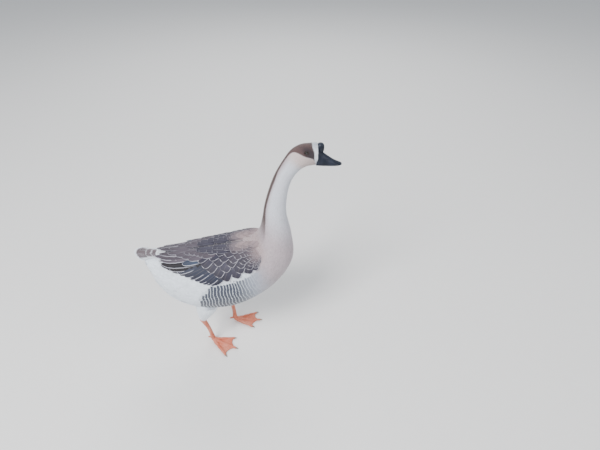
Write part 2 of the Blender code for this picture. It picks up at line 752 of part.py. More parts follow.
def make_leg(goose, side_name, torso):
    thigh = combine(thigh_form(side_name), [swollen(torso)], "DIFFERENCE")
    shank = shank_form(side_name)
    foot = foot_form(side_name)
    shank = combine(shank, [swollen(foot), swollen(thigh)], "DIFFERENCE")
    new_object(f"thigh_{side_name}", thigh, goose, "white_plumage")
    new_object(f"shank_{side_name}", shank, goose, "orange_leg")
    new_object(f"foot_{side_name}", foot, goose, "orange_leg")
    for toe in TOE_LENGTHS:
        new_object(f"claw_{toe}_{side_name}", claw_form(side_name, toe), goose, "pale_claw")


def make_goose():
    clear_scene()
    goose = new_collection("chinese_goose")
    torso = flesh(0.0, NECK_CUT, 27, 26)
    new_object("torso", torso, goose, "brown_plumage")
    new_object("neck_lower", flesh(NECK_CUT, MID_NECK_CUT, 9, 26), goose, "neck_plumage")
    new_object("neck_upper", flesh(MID_NECK_CUT, HEAD_CUT, 9, 26), goose, "neck_plumage")
    make_head(goose)
    tail = tail_form()
    new_object("tail", tail, goose, "tail_plumage")
    for side_name, side in SIDES.items():
        new_object(f"wing_{side_name}", wing_form(side, torso, tail), goose, "wing_plumage")
        make_leg(goose, side_name, torso)
    stance = bpy.data.objects.new("stance", None)
    goose.objects.link(stance)
    stance.location = (-MIDDLE_X, 0.0, 0.0)
    for obj in goose.objects:
        if obj.type == "MESH":
            obj.parent = stance
            obj.data.shade_smooth()
            obj.data.set_sharp_from_angle(angle=math.radians(40))


make_goose()
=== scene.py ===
"""A life-size Chinese goose in mid-step, dressed with skin, feathers, horn and scaly legs.

The goose faces +X, its left side is +Y and it stands on Z = 0. Sizes are in metres.
Its coat is laid on smooth surfaces: every feather has a root and a tip in a surface's own place
and angle, and is drawn over it row by row as a thin closed vane.
"""
from __future__ import annotations

import logging
import math
import sys
from dataclasses import dataclass
from enum import Enum
from typing import Any, Iterable, Sequence

import bmesh
import bpy
import numpy as np
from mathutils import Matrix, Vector
from mathutils.kdtree import KDTree

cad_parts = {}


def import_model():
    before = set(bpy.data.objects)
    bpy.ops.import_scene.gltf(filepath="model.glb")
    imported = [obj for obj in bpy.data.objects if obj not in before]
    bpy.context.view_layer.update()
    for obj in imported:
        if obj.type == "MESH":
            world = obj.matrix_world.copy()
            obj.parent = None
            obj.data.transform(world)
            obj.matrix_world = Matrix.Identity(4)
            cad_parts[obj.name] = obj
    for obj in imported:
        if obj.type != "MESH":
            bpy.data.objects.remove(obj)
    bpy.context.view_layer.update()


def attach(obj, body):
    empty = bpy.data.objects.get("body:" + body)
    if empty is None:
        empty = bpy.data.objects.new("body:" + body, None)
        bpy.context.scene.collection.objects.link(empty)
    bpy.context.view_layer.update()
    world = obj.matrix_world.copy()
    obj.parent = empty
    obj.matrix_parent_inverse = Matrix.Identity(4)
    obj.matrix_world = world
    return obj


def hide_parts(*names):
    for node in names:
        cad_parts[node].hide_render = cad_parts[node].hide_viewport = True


Array = np.ndarray
Triple = tuple[float, float, float]
Numbers = tuple[float, ...]
Colour = Triple

LOG = logging.getLogger("goose")
MIDDLE_X = 0.0771
EYE = (0.2915, 0.0210, 0.7308)
SIDES = {"right": -1.0, "left": 1.0}
FIRST_PLACE, LAST_PLACE = -0.7, 15.0
BAKE_LAYER = "OFBake"
BAKE_PATCH = 0.003
BAKE_MARGIN = 0.02


def smooth(low: float, high: float, value: Array) -> Array:
    """A soft step from nought at low to one at high.

    Args:
        low: Where the step begins.
        high: Where it ends; it may be less than low.
        value: The numbers to judge.

    Returns:
        Numbers between nought and one.
    """
    part = np.clip((np.asarray(value, float) - low) / (high - low), 0.0, 1.0)
    return part * part * (3.0 - 2.0 * part)


def blend(base: Array, other: Colour | Array, share: Array) -> Array:
    """Colours of base turned towards another by a share for each row."""
    return base + (np.asarray(other, float) - base) * np.asarray(share)[..., None]


def unit(vectors: Array) -> Array:
    """Vectors of the same direction, each one long."""
    return vectors / np.linalg.norm(vectors, axis=-1, keepdims=True)


def circle(count: int) -> Array:
    """Angles evenly spread round a circle."""
    return np.linspace(-np.pi, np.pi, count + 1)[:-1]


def lattice(rows: Array, columns: Array) -> tuple[Array, Array]:
    """Every pair out of two lists of numbers, as two grids."""
    return tuple(np.meshgrid(rows, columns, indexing="ij"))


def eye_centre(sign: float) -> Array:
    """The middle of the eye on one side."""
    return np.array((EYE[0] - MIDDLE_X, EYE[1] * sign, EYE[2]))


class Surface:
    """A smooth surface with two coordinates, place and angle, that feathers can be laid on."""

    step = 0.004
    facing = 1.0

    def point(self, place: Array, angle: Array) -> Array:
        """Points of the surface, one row of x, y, z each."""
        raise NotImplementedError

    def tangents(self, place: Array, angle: Array) -> tuple[Array, Array]:
        """How far the surface moves for one unit of place and one radian.

        Args:
            place: Places along the surface.
            angle: Angles round it.

        Returns:
            The two arrays of tangent vectors.
        """
        step = self.step
        along = (self.point(place + step, angle) - self.point(place - step, angle)) / (2 * step)
        around = (self.point(place, angle + step) - self.point(place, angle - step)) / (2 * step)
        return along, around

    def normal(self, place: Array, angle: Array) -> Array:
        """Unit vectors that point out of the surface."""
        return unit(np.cross(*self.tangents(place, angle)) * self.facing)

    def over(self, place: Array, angle: Array, height: Array | float) -> Array:
        """Points at a height over the surface."""
        return self.point(place, angle) + self.normal(place, angle) * np.asarray(height)[..., None]

    def solve(self, along: Array, around: Array, way: Array) -> tuple[Array, Array]:
        """Steps of place and angle that move by a vector in the surface.

        Args:
            along: Tangents for a unit of place.
            around: Tangents for a radian.
            way: The vectors to follow, one metre long for a metre's step.

        Returns:
            The steps of place and the steps of angle.
        """
        aa, bb, ab = (along * along).sum(-1), (around * around).sum(-1), (along * around).sum(-1)
        wa, wb = (way * along).sum(-1), (way * around).sum(-1)
        det = aa * bb - ab * ab
        return (wa * bb - wb * ab) / det, (wb * aa - wa * ab) / det


def spline(rows: Array, place: Array) -> Array:
    """A smooth line through rows of numbers, going straight on beyond its ends.

    Args:
        rows: The rows to pass through.
        place: Where to read, counted in rows.

    Returns:
        One row of numbers for each place.
    """
    place = np.asarray(place, float)
    padded = np.vstack([2 * rows[0] - rows[1], rows, 2 * rows[-1] - rows[-2]])
    inside = np.clip(place, 0.0, len(rows) - 1 - 1e-9)
    first = inside.astype(int)
    part = (inside - first)[..., None]
    a, b, c, d = (padded[first + k] for k in range(4))
    bend = (2 * a - 5 * b + 4 * c - d) * part ** 2 + (3 * b - a - 3 * c + d) * part ** 3
    value = 0.5 * (2 * b + (c - a) * part + bend)
    ends = np.where((place < 0)[..., None], rows[1] - rows[0], rows[-1] - rows[-2])
    return value + ends * (place - inside)[..., None]


@dataclass(frozen=True)
class Flesh(Surface):
    """The goose's body, neck and head as one form; the angle runs from the back, left side positive.

    Each section holds x and z on the back, x and z on the belly, and half the width.
    """

    sections: tuple[Numbers, ...] = (
        (-0.176, 0.386, -0.196, 0.338, 0.0460),
        (-0.150, 0.386, -0.176, 0.280, 0.0680),
        (-0.110, 0.388, -0.130, 0.219, 0.0890),
        (-0.045, 0.398, -0.055, 0.183, 0.1060),
        (0.040, 0.410, 0.043, 0.181, 0.1110),
        (0.105, 0.424, 0.133, 0.219, 0.1060),
        (0.138, 0.438, 0.209, 0.279, 0.0890),
        (0.152, 0.462, 0.253, 0.354, 0.0690),
        (0.162, 0.502, 0.250, 0.440, 0.0490),
        (0.171, 0.552, 0.236, 0.520, 0.0355),
        (0.186, 0.606, 0.239, 0.584, 0.0295),
        (0.205, 0.656, 0.2525, 0.636, 0.0265),
        (0.229, 0.699, 0.274, 0.668, 0.0265),
        (0.252, 0.730, 0.294, 0.6815, 0.0285),
        (0.283, 0.7465, 0.309, 0.6835, 0.0275),
        (0.3235, 0.7475, 0.3235, 0.6840, 0.0210),
    )

    def point(self, place: Array, angle: Array) -> Array:
        """Points of the flesh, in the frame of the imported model."""
        rows = spline(np.array(self.sections), place)
        cosine, sine = np.cos(angle), np.sin(angle)
        x = (rows[..., 0] + rows[..., 2]) / 2 + (rows[..., 0] - rows[..., 2]) / 2 * cosine
        z = (rows[..., 1] + rows[..., 3]) / 2 + (rows[..., 1] - rows[..., 3]) / 2 * cosine
        return np.stack([x - MIDDLE_X, rows[..., 4] * sine, z], -1)


@dataclass(frozen=True)
class WingSurface(Surface):
    """The flank under a folded wing, swollen by the arm and its small feathers."""

    flesh: Flesh
    places: Numbers = (1.2, 2.4, 3.3, 3.6, 4.0, 4.4, 4.85, 5.35, 5.75, 5.95)
    lower: Numbers = (40.0, 46.0, 58.0, 61.0, 62.0, 63.0, 64.5, 63.0, 54.0, 48.0)
    upper: Numbers = (20.0, 14.0, 11.0, 9.5, 9.5, 9.5, 10.5, 14.0, 28.0, 46.0)
    crest: Numbers = (0.0, 0.0022, 0.0048, 0.0056, 0.0062, 0.0066, 0.0068, 0.0060, 0.0030, 0.0)
    open_front: float = 0.55

    def edges(self, place: Array) -> tuple[Array, Array]:
        """The wing's lower and upper edge, in degrees from the back."""
        return np.interp(place, self.places, self.lower), np.interp(place, self.places, self.upper)

    def point(self, place: Array, angle: Array) -> Array:
        """Points of the wing's rounded outer face."""
        low, high = self.edges(place)
        across = np.clip((np.degrees(np.abs(angle)) - high) / (low - high), 0.0, 1.0)
        swell = np.interp(place, self.places, self.crest) * np.sin(np.pi * across) ** 0.8
        return self.flesh.over(place, angle, swell)

    def covers(self, place: Array, angle: Array, margin: float) -> Array:
        """Whether places of the flesh lie under the wing, by at least a margin in degrees."""
        degrees = np.degrees(np.abs(angle))
        low, high = self.edges(place)
        inside = (place > self.places[0]) & (place < self.places[-1] - self.open_front)
        return inside & (degrees < low - margin) & (degrees > high + margin)


@dataclass(frozen=True)
class Limb(Surface):
    """A tapering round limb; place runs from nought at its top to one at its end."""

    points: tuple[Triple, ...]
    radii: Numbers

    def point(self, place: Array, angle: Array) -> Array:
        """Points of the limb; the angle is measured round it from behind."""
        place = np.asarray(place, float)
        rows = np.array([(*p, r) for p, r in zip(self.points, self.radii)])
        here = spline(rows, place * (len(self.points) - 1))
        axis = unit(np.subtract(self.points[-1], self.points[0]))
        back = unit(np.cross(axis, (0.0, 1.0, 0.0)))
        side = np.cross(back, axis)
        spread = back * np.cos(angle)[..., None] + side * np.sin(angle)[..., None]
        return here[..., :3] + spread * here[..., 3:]


@dataclass(frozen=True)
class TailSurface(Surface):
    """The fan of the tail: place runs from its root to its tip, angle from side to side in metres."""

    facing = -1.0
    root: Triple = (-0.176 - MIDDLE_X, 0.0, 0.384)
    tip: Triple = (-0.238 - MIDDLE_X, 0.0, 0.396)
    droop: float = 3.2
    narrow: float = 0.55

    def point(self, place: Array, angle: Array) -> Array:
        """Points of the slightly tented fan."""
        place = np.asarray(place, float)
        root, tip = np.array(self.root), np.array(self.tip)
        wide = angle * (self.narrow + (1.0 - self.narrow) * place)
        centre = root + (tip - root) * place[..., None]
        return centre + np.stack([0 * wide, wide, -self.droop * wide ** 2], -1)


@dataclass(frozen=True)
class Cut:
    """The outline of a feather: its rows from root to tip, the width at each, and its section."""

    rows: Numbers
    widths: Numbers
    columns: Numbers = (-1.0, 0.0, 1.0)
    crown: Numbers = (0.0, 1.0, 0.0)
    camber: float = 0.22


FIVE_COLUMNS = ((-1.0, -0.5, 0.0, 0.5, 1.0), (0.0, 0.72, 1.0, 0.72, 0.0))


class Cuts(Enum):
    """The cuts of feather on the goose."""

    TUFT = Cut((0.0, 0.55, 1.0), (0.75, 1.0, 0.18), camber=0.30)
    SMALL = Cut((0.0, 0.50, 0.85, 1.0), (0.60, 1.0, 0.72, 0.22))
    CONTOUR = Cut((0.0, 0.40, 0.70, 0.90, 1.0), (0.55, 0.92, 1.0, 0.68, 0.20), camber=0.16)
    COVERT = Cut(
        (0.0, 0.30, 0.58, 0.78, 0.90, 0.97, 1.0), (0.55, 0.85, 1.0, 0.93, 0.70, 0.38, 0.12),
        *FIVE_COLUMNS, 0.12)
    BROAD = Cut(
        (0.0, 0.30, 0.58, 0.80, 0.91, 0.97, 1.0), (0.60, 0.88, 1.0, 0.98, 0.84, 0.58, 0.28),
        *FIVE_COLUMNS, 0.05)
    SQUARE = Cut(
        (0.0, 0.35, 0.65, 0.86, 0.95, 1.0), (0.60, 0.90, 1.0, 0.98, 0.90, 0.66),
        *FIVE_COLUMNS, 0.05)
    QUILL = Cut(
        (0.0, 0.15, 0.33, 0.52, 0.70, 0.84, 0.92, 0.97, 1.0),
        (0.50, 0.80, 0.95, 1.0, 0.98, 0.86, 0.64, 0.38, 0.10),
        (-1.0, -0.45, 0.0, 0.45, 1.0), (0.0, 0.70, 1.0, 0.70, 0.0), 0.05)


@dataclass
class Tract:
    """Feathers of one cut on one surface, one entry of each array for a feather."""

    place: Array
    angle: Array
    tip_place: Array
    tip_angle: Array
    half_width: Array
    root_height: Array
    tip_height: Array
    tilt: Array
    hue: Array
    rim: Array
    trim: Array
    seed: Array
    hand: float = 1.0

    def only(self, keep: Array) -> Tract:
        """The tract with just the feathers that keep names."""
        return Tract(**{
            name: value[keep] if isinstance(value, np.ndarray) else value
            for name, value in self.__dict__.items()})

    def roots(self) -> Array:
        """The angle and place of each root."""
        return np.stack([self.angle, self.place], -1)

    def between(self, share: Array) -> tuple[Array, Array]:
        """Places and angles at some shares of the way from root to tip, one row for each feather."""
        place = self.place[:, None] + (self.tip_place - self.place)[:, None] * share
        return place, self.angle[:, None] + (self.tip_angle - self.angle)[:, None] * share

    def even(self, surface: Surface, rows: Array) -> Array:
        """Shares of the way from root to tip that put the rows at their own lengths over the surface.

        Args:
            surface: What the feathers lie on.
            rows: The rows of their cut.

        Returns:
            One row of shares for each feather.
        """
        part = np.linspace(0.0, 1.0, 9)
        steps = np.linalg.norm(np.diff(surface.point(*self.between(part)), axis=1), axis=-1)
        length = np.hstack([np.zeros((len(steps), 1)), np.cumsum(steps, axis=1)])
        length /= length[:, -1:]
        low = np.clip((length[:, None, :] <= rows[None, :, None]).sum(-1) - 1, 0, len(part) - 2)
        start, end = np.take_along_axis(length, low, 1), np.take_along_axis(length, low + 1, 1)
        return (low + (rows - start) / (end - start)) / (len(part) - 1)

    def grid(self, surface: Surface, cut: Cut) -> Array:
        """The feathers' vertices.

        Args:
            surface: What they lie on.
            cut: Their outline and section.

        Returns:
            An array of feathers, rows, columns and coordinates.
        """
        rows = np.array(cut.rows)[None, :]
        widths = np.array(cut.widths)[None, :] * self.half_width[:, None]
        place, angle = self.between(self.even(surface, np.array(cut.rows)))
        along, around = surface.tangents(place, angle)
        normal = unit(np.cross(along, around) * surface.facing)
        way = along * (self.tip_place - self.place)[:, None, None]
        way = way + around * (self.tip_angle - self.angle)[:, None, None]
        step_place, step_angle = surface.solve(along, around, unit(np.cross(normal, way)))
        lower = np.sign(step_angle * angle + 1e-12)
        climb = (self.tip_height - self.root_height)[:, None] * rows ** 0.85
        height = self.root_height[:, None] + climb
        out = np.empty((*place.shape, len(cut.columns), 3))
        for k, (column, crown) in enumerate(zip(cut.columns, cut.crown)):
            shift = widths * column
            arch = (crown - 0.5) * cut.camber * widths
            rise = height + arch + self.tilt[:, None] * shift * lower * rows
            base = surface.point(place + step_place * shift, angle + step_angle * shift)
            out[:, :, k] = base + normal * rise[..., None]
        return out


class Coat:
    """One mesh of many feathers, each a closed vane with its own colours and bake patch."""

    def __init__(self, name: str) -> None:
        """Starts an empty coat of one name."""
        self.name = name
        self.parts: list[tuple[Array, Cut, Tract]] = []

    def lay(self, tract: Tract, surface: Surface, cut: Cuts) -> None:
        """Adds a tract of feathers of one cut, laid on a surface."""
        self.parts.append((tract.grid(surface, cut.value), cut.value, tract))

    @staticmethod
    def faces(rows: int, columns: int) -> list[tuple[int, ...]]:
        """The faces of one closed vane, as numbers of its vertices.

        Args:
            rows: Rows from root to tip.
            columns: Columns from edge to edge.

        Returns:
            Faces that all look outward.
        """
        def at(row: int, column: int) -> int:
            """The number of one vertex."""
            return row * columns + column

        found: list[tuple[int, ...]] = []
        for r in range(rows - 1):
            for c in range(columns - 1):
                found.append((at(r, c), at(r + 1, c), at(r + 1, c + 1), at(r, c + 1)))
            found.append((at(r, 0), at(r, columns - 1), at(r + 1, columns - 1), at(r + 1, 0)))
        found.append(tuple(at(0, c) for c in range(columns)))
        found.append(tuple(at(rows - 1, c) for c in reversed(range(columns))))
        return found

    def build(self) -> bpy.types.Mesh:
        """Makes one mesh of all the feathers laid so far."""
        points = np.vstack([grid.reshape(-1, 3) for grid, _, _ in self.parts])
        corners, starts, totals = self.loops()
        mesh = bpy.data.meshes.new(self.name)
        mesh.vertices.add(len(points))
        mesh.vertices.foreach_set("co", points.astype(np.float32).ravel())
        mesh.loops.add(len(corners))
        mesh.loops.foreach_set("vertex_index", corners)
        mesh.polygons.add(len(starts))
        mesh.polygons.foreach_set("loop_start", starts)
        mesh.polygons.foreach_set("loop_total", totals)
        mesh.update(calc_edges=True)
        paint(mesh, "hue", self.spread("hue"))
        paint(mesh, "rim", self.spread("rim"))
        store(mesh, "trim", "FLOAT_VECTOR", "vector", self.spread("trim"))
        store(mesh, "vane", "FLOAT_VECTOR", "vector", self.vanes())
        unfold(mesh, self.patches()[corners])
        mesh.shade_smooth()
        mesh.set_sharp_from_angle(angle=math.radians(75))
        return mesh

    def loops(self) -> tuple[Array, Array, Array]:
        """Every face's corners, where each face starts among them, and how many it has."""
        corners, starts, totals = [], [], []
        offset = loop_offset = 0
        for grid, _, _ in self.parts:
            count, rows, columns, _ = grid.shape
            faces = self.faces(rows, columns)
            flat = np.array([vertex for face in faces for vertex in face])
            lengths = np.array([len(face) for face in faces])
            each = np.concatenate([[0], np.cumsum(lengths)[:-1]])
            feather = np.arange(count)[:, None]
            corners.append((feather * rows * columns + flat + offset).ravel())
            starts.append((feather * len(flat) + each + loop_offset).ravel())
            totals.append(np.tile(lengths, count))
            offset += count * rows * columns
            loop_offset += count * len(flat)
        return tuple(np.concatenate(found).astype(np.int32) for found in (corners, starts, totals))

    def spread(self, name: str) -> Array:
        """One value of each feather, repeated for all its vertices."""
        return np.vstack([
            np.repeat(getattr(tract, name), grid.shape[1] * grid.shape[2], axis=0)
            for grid, _, tract in self.parts])

    @staticmethod
    def across_and_along(grid: Array, cut: Cut) -> tuple[Array, Array]:
        """Where each vertex lies across its vane and along it."""
        shape = grid.shape[:3]
        across = np.broadcast_to(np.array(cut.columns), shape)
        return across, np.broadcast_to(np.array(cut.rows)[:, None], shape)

    def vanes(self) -> Array:
        """Where each vertex lies on its vane, with the vane's seed."""
        found = []
        for grid, cut, tract in self.parts:
            across, along = self.across_and_along(grid, cut)
            seed = np.broadcast_to(tract.seed[:, None, None], across.shape)
            found.append(np.stack([across * tract.hand, along, seed], -1).reshape(-1, 3))
        return np.vstack(found)

    def patches(self) -> Array:
        """Each vertex's spot on the flat unwrap, every vane small at the place of its root."""
        roots = np.vstack([tract.roots() for _, _, tract in self.parts])
        low, size = roots.min(0), np.ptp(roots, axis=0) + 1e-9
        found = []
        for grid, cut, tract in self.parts:
            across, along = self.across_and_along(grid, cut)
            home = BAKE_MARGIN + (1.0 - 2 * BAKE_MARGIN) * (tract.roots() - low) / size
            patch = np.stack([across * 0.5, along - 0.5], -1) * BAKE_PATCH
            found.append((home[:, None, None, :] + patch).reshape(-1, 2))
        return np.vstack(found)


def store(mesh: bpy.types.Mesh, name: str, kind: str, key: str, values: Array) -> None:
    """Stores one value for each vertex of a mesh."""
    layer = mesh.attributes.new(name, kind, "POINT")
    layer.data.foreach_set(key, values.astype(np.float32).ravel())


def paint(mesh: bpy.types.Mesh, name: str, colours: Array) -> None:
    """Stores one colour for each vertex of a mesh."""
    store(mesh, name, "FLOAT_COLOR", "color", np.hstack([colours, np.ones((len(colours), 1))]))


def unfold(mesh: bpy.types.Mesh, spots: Array) -> None:
    """Stores the place on the flat unwrap for each corner of a mesh."""
    layer = mesh.uv_layers.new(name=BAKE_LAYER)
    layer.data.foreach_set("uv", spots.astype(np.float32).ravel())


def points_of(mesh: bpy.types.Mesh) -> Array:
    """The vertices of a mesh, one row of x, y, z each."""
    points = np.zeros(len(mesh.vertices) * 3, np.float32)
    mesh.vertices.foreach_get("co", points)
    return points.reshape(-1, 3)


def place_object(name: str, data: bpy.types.ID) -> bpy.types.Object:
    """An object for a mesh, light or camera, linked to the scene."""
    obj = bpy.data.objects.new(name, data)
    bpy.context.scene.collection.objects.link(obj)
    return obj


def sheet_mesh(name: str, grid: Array, caps: bool = True) -> bpy.types.Mesh:
    """A mesh over a grid of points, each row a ring.

    Args:
        name: The mesh's name.
        grid: Rows of points.
        caps: Whether the first and last rows are closed.

    Returns:
        The mesh, smooth, with its normals outward.
    """
    rows, columns, _ = grid.shape
    faces: list[tuple[int, ...]] = []
    for r in range(0, (rows - 1) * columns, columns):
        for c in range(columns):
            n = (c + 1) % columns
            faces.append((r + c, r + n, r + columns + n, r + columns + c))
    if caps:
        faces.append(tuple(range(columns))[::-1])
        faces.append(tuple((rows - 1) * columns + c for c in range(columns)))
    mesh = bpy.data.meshes.new(name)
    mesh.from_pydata(grid.reshape(-1, 3).tolist(), [], faces)
    bm = bmesh.new()
    bm.from_mesh(mesh)
    bmesh.ops.recalc_face_normals(bm, faces=bm.faces)
    bm.to_mesh(mesh)
    bm.free()
    mesh.shade_smooth()
    return mesh


def merged(
        name: str, meshes: Iterable[bpy.types.Mesh], voxel: float, relax: int = 4) -> bpy.types.Mesh:
    """Several closed meshes grown into one smooth skin.

    Args:
        name: The new mesh's name.
        meshes: Closed meshes that pass into one another.
        voxel: The size of the remeshed faces.
        relax: How many rounds of smoothing follow.

    Returns:
        The one mesh.
    """
    bm = bmesh.new()
    for mesh in meshes:
        bm.from_mesh(mesh)
    joined = bpy.data.meshes.new(name)
    bm.to_mesh(joined)
    bm.free()
    obj = place_object(name, joined)
    remesh = obj.modifiers.new("grow", "REMESH")
    remesh.mode = "VOXEL"
    remesh.voxel_size = voxel
    settle = obj.modifiers.new("settle", "SMOOTH")
    settle.iterations = relax
    settle.factor = 0.5
    graph = bpy.context.evaluated_depsgraph_get()
    graph.update()
    mesh = bpy.data.meshes.new_from_object(obj.evaluated_get(graph))
    bpy.data.objects.remove(obj, do_unlink=True)
    bpy.data.meshes.remove(joined)
    mesh.name = name
    mesh.shade_smooth()
    return mesh


class Markings:
    """The goose's colours as functions of place and angle on its flesh, with a painted shadow under the
    jaw and a painted cool blue cast on its pale colours.
    """

    cap: Colour = (0.100, 0.058, 0.056)
    lore: Colour = (0.034, 0.022, 0.028)
    cheek: Colour = (0.620, 0.520, 0.500)
    # the band, neck and white colours carry a painted cool blue cast of daylight over the goose's own
    # pale colours
    band: Colour = (0.800, 0.830, 0.880)
    # painted shadow under the jaw, not a marking of the goose
    chin_shadow: Colour = (0.260, 0.215, 0.190)
    stripe: Colour = (0.080, 0.050, 0.046)
    neck: Colour = (0.650, 0.665, 0.725)
    fawn: Colour = (0.455, 0.380, 0.410)
    shoulder: Colour = (0.385, 0.288, 0.292)
    mantle: Colour = (0.040, 0.036, 0.052)
    flank: Colour = (0.350, 0.385, 0.460)
    bar: Colour = (0.038, 0.048, 0.078)
    white: Colour = (0.780, 0.840, 0.910)
    pale_edge: Colour = (0.640, 0.610, 0.610)

    dark_places: Numbers = (
        6.6, 7.35, 8.35, 9.0, 10.0, 10.75, 11.3, 12.0, 12.6,
        13.0, 13.2, 13.4, 13.6, 13.8, 14.0, 14.2, 14.43, 14.55)
    dark_edges: Numbers = (
        40.0, 40.0, 34.0, 29.0, 31.0, 33.0, 22.0, 17.0, 17.0,
        22.0, 33.0, 49.0, 65.0, 76.0, 82.0, 87.0, 95.0, 106.0)

    @staticmethod
    def degrees(angle: Array) -> Array:
        """Angles in degrees from the back, the same on both sides."""
        turned = np.degrees(np.abs(angle)) % 360.0
        return np.where(turned > 180.0, 360.0 - turned, turned)

    def flank_share(self, place: Array, angle: Array) -> Array:
        """How far a spot belongs to the barred flank."""
        degrees = self.degrees(angle)
        across = smooth(62.0, 72.0, degrees) * smooth(142.0, 120.0, degrees)
        start = 3.02 + 0.40 * smooth(104.0, 70.0, degrees)
        return across * smooth(5.9, 4.3, place) * smooth(start - 0.04, start + 0.04, place)

    def body(self, place: Array, angle: Array) -> Array:
        """Colours of the coat and skin.

        Args:
            place: Places on the flesh.
            angle: Angles on the flesh.

        Returns:
            One colour for each place.
        """
        degrees = self.degrees(angle)
        hue = np.broadcast_to(np.array(self.fawn), (*np.shape(place), 3)).copy()
        hue = blend(hue, self.neck, smooth(7.2, 9.2, place) * smooth(20.0, 60.0, degrees))
        hue = blend(hue, self.shoulder, smooth(7.2, 6.0, place) * smooth(80.0, 40.0, degrees))
        hue = blend(hue, self.white, smooth(5.6, 4.2, place) * smooth(95.0, 140.0, degrees) * 0.85)
        flank = smooth(60.0, 72.0, degrees) * smooth(150.0, 118.0, degrees)
        hue = blend(hue, self.flank, smooth(6.2, 4.9, place) * flank)
        rump = smooth(86.0, 78.0, degrees) * smooth(50.0, 60.0, degrees)
        hue = blend(hue, self.white, smooth(3.55, 3.30, place) * rump)
        low = np.interp(place, (3.1, 3.7, 4.4, 5.2, 5.8), (84.0, 76.0, 71.0, 67.0, 63.0))
        line = smooth(5.8, 4.9, place) * smooth(54.0, 59.0, degrees) * smooth(3.0, -3.0, degrees - low)
        hue = blend(hue, self.white, line * 0.85)
        hind = 3.18 + (degrees - 100.0) * 0.003
        hue = blend(hue, self.white, smooth(0.12, -0.12, place - hind) * smooth(24.0, 32.0, degrees))
        back = smooth(4.8, 4.1, place) * smooth(34.0, 26.0, degrees) * smooth(0.55, 0.9, place)
        hue = blend(hue, self.mantle, back)
        hue = blend(hue, self.white, smooth(0.9, 0.5, place) * smooth(-0.5, -0.2, place))
        edge = np.interp(place, self.dark_places, self.dark_edges)
        stripe = smooth(4.0, -4.0, degrees - edge) * smooth(6.4, 8.4, place)
        hue = blend(hue, self.stripe, stripe)
        return self.head(hue, place, degrees - edge, FLESH.point(place, angle))

    def head(self, hue: Array, place: Array, past: Array, spot: Array) -> Array:
        """Adds the cheek, cap, dark lore, white band and a painted shadow under the jaw to colours of
        the neck.

        Args:
            hue: The colours so far.
            place: Places on the flesh.
            past: Degrees past the edge of the dark cap.
            spot: The points on the flesh.

        Returns:
            The colours with the head's markings and the painted shadow under the jaw.
        """
        x, z = spot[..., 0] + MIDDLE_X, spot[..., 2]
        hue = blend(hue, self.cheek, smooth(11.9, 13.0, place) * smooth(0.0, 4.0, past))
        hue = blend(hue, self.cap, smooth(12.2, 12.7, place) * smooth(2.0, -2.0, past))
        dark = smooth(13.4, 14.2, place) * smooth(2.0, -6.0, past) * smooth(-80.0, -35.0, past)
        hue = blend(hue, self.lore, dark)
        # painted shadow: darker under the jaw, below the head's lower edge
        hue = blend(hue, self.chin_shadow, smooth(0.6868, 0.6845, z) * smooth(13.0, 13.8, place) * 0.8)
        front = 0.3122 - 0.0052 * smooth(0.728, 0.745, z) + 0.0034 * smooth(0.716, 0.696, z)
        band = smooth(-0.0007, 0.0007, x - front) * smooth(0.6855, 0.6885, z)
        return blend(hue, self.band, band * smooth(13.0, 14.0, place))

    def edges(self, place: Array, angle: Array) -> Array:
        """How strong the pale rims of the feathers are."""
        degrees = self.degrees(angle)
        mantle = smooth(7.4, 5.6, place) * smooth(70.0, 36.0, degrees) * smooth(0.3, 0.8, place)
        breast = smooth(7.6, 6.0, place) * smooth(4.4, 5.4, place) * smooth(50.0, 75.0, degrees)
        return np.clip(mantle * 0.5 + breast * 0.3, 0.0, 1.0)


FLESH = Flesh()
WING = WingSurface(FLESH)
MARKINGS = Markings()


class Signal:
    """A number that varies over a surface, with the operators of shader maths."""

    def __init__(self, graph: Graph, socket: bpy.types.NodeSocket) -> None:
        """Wraps one output socket of a graph."""
        self.graph = graph
        self.socket = socket

    def _with(self, operation: str, *values: Any) -> Signal:
        """The outcome of one Math node on some values."""
        settings = {"operation": operation}
        node = self.graph.node("ShaderNodeMath", settings, dict(enumerate(values)))
        return Signal(self.graph, node.outputs[0])

    def __add__(self, other: Any) -> Signal:
        """This plus another."""
        return self._with("ADD", self, other)

    __radd__ = __add__

    def __sub__(self, other: Any) -> Signal:
        """This less another."""
        return self._with("SUBTRACT", self, other)

    def __rsub__(self, other: Any) -> Signal:
        """Another less this."""
        return self._with("SUBTRACT", other, self)

    def __mul__(self, other: Any) -> Signal:
        """This times another."""
        return self._with("MULTIPLY", self, other)

    __rmul__ = __mul__

    def __pow__(self, other: Any) -> Signal:
        """This to a power."""
        return self._with("POWER", self, other)

    def __abs__(self) -> Signal:
        """This without its sign."""
        return self._with("ABSOLUTE", self)

    def sine(self) -> Signal:
        """The sine of this."""
        return self._with("SINE", self)

    def most(self, other: Any) -> Signal:
        """The greater of this and another."""
        return self._with("MAXIMUM", self, other)

    def step(self, low: float, high: float) -> Signal:
        """A soft step from nought at low to one at high."""
        node = self.graph.node(
            "ShaderNodeMapRange", {"interpolation_type": "SMOOTHSTEP"},
            {"Value": self, "From Min": low, "From Max": high})
        return Signal(self.graph, node.outputs[0])


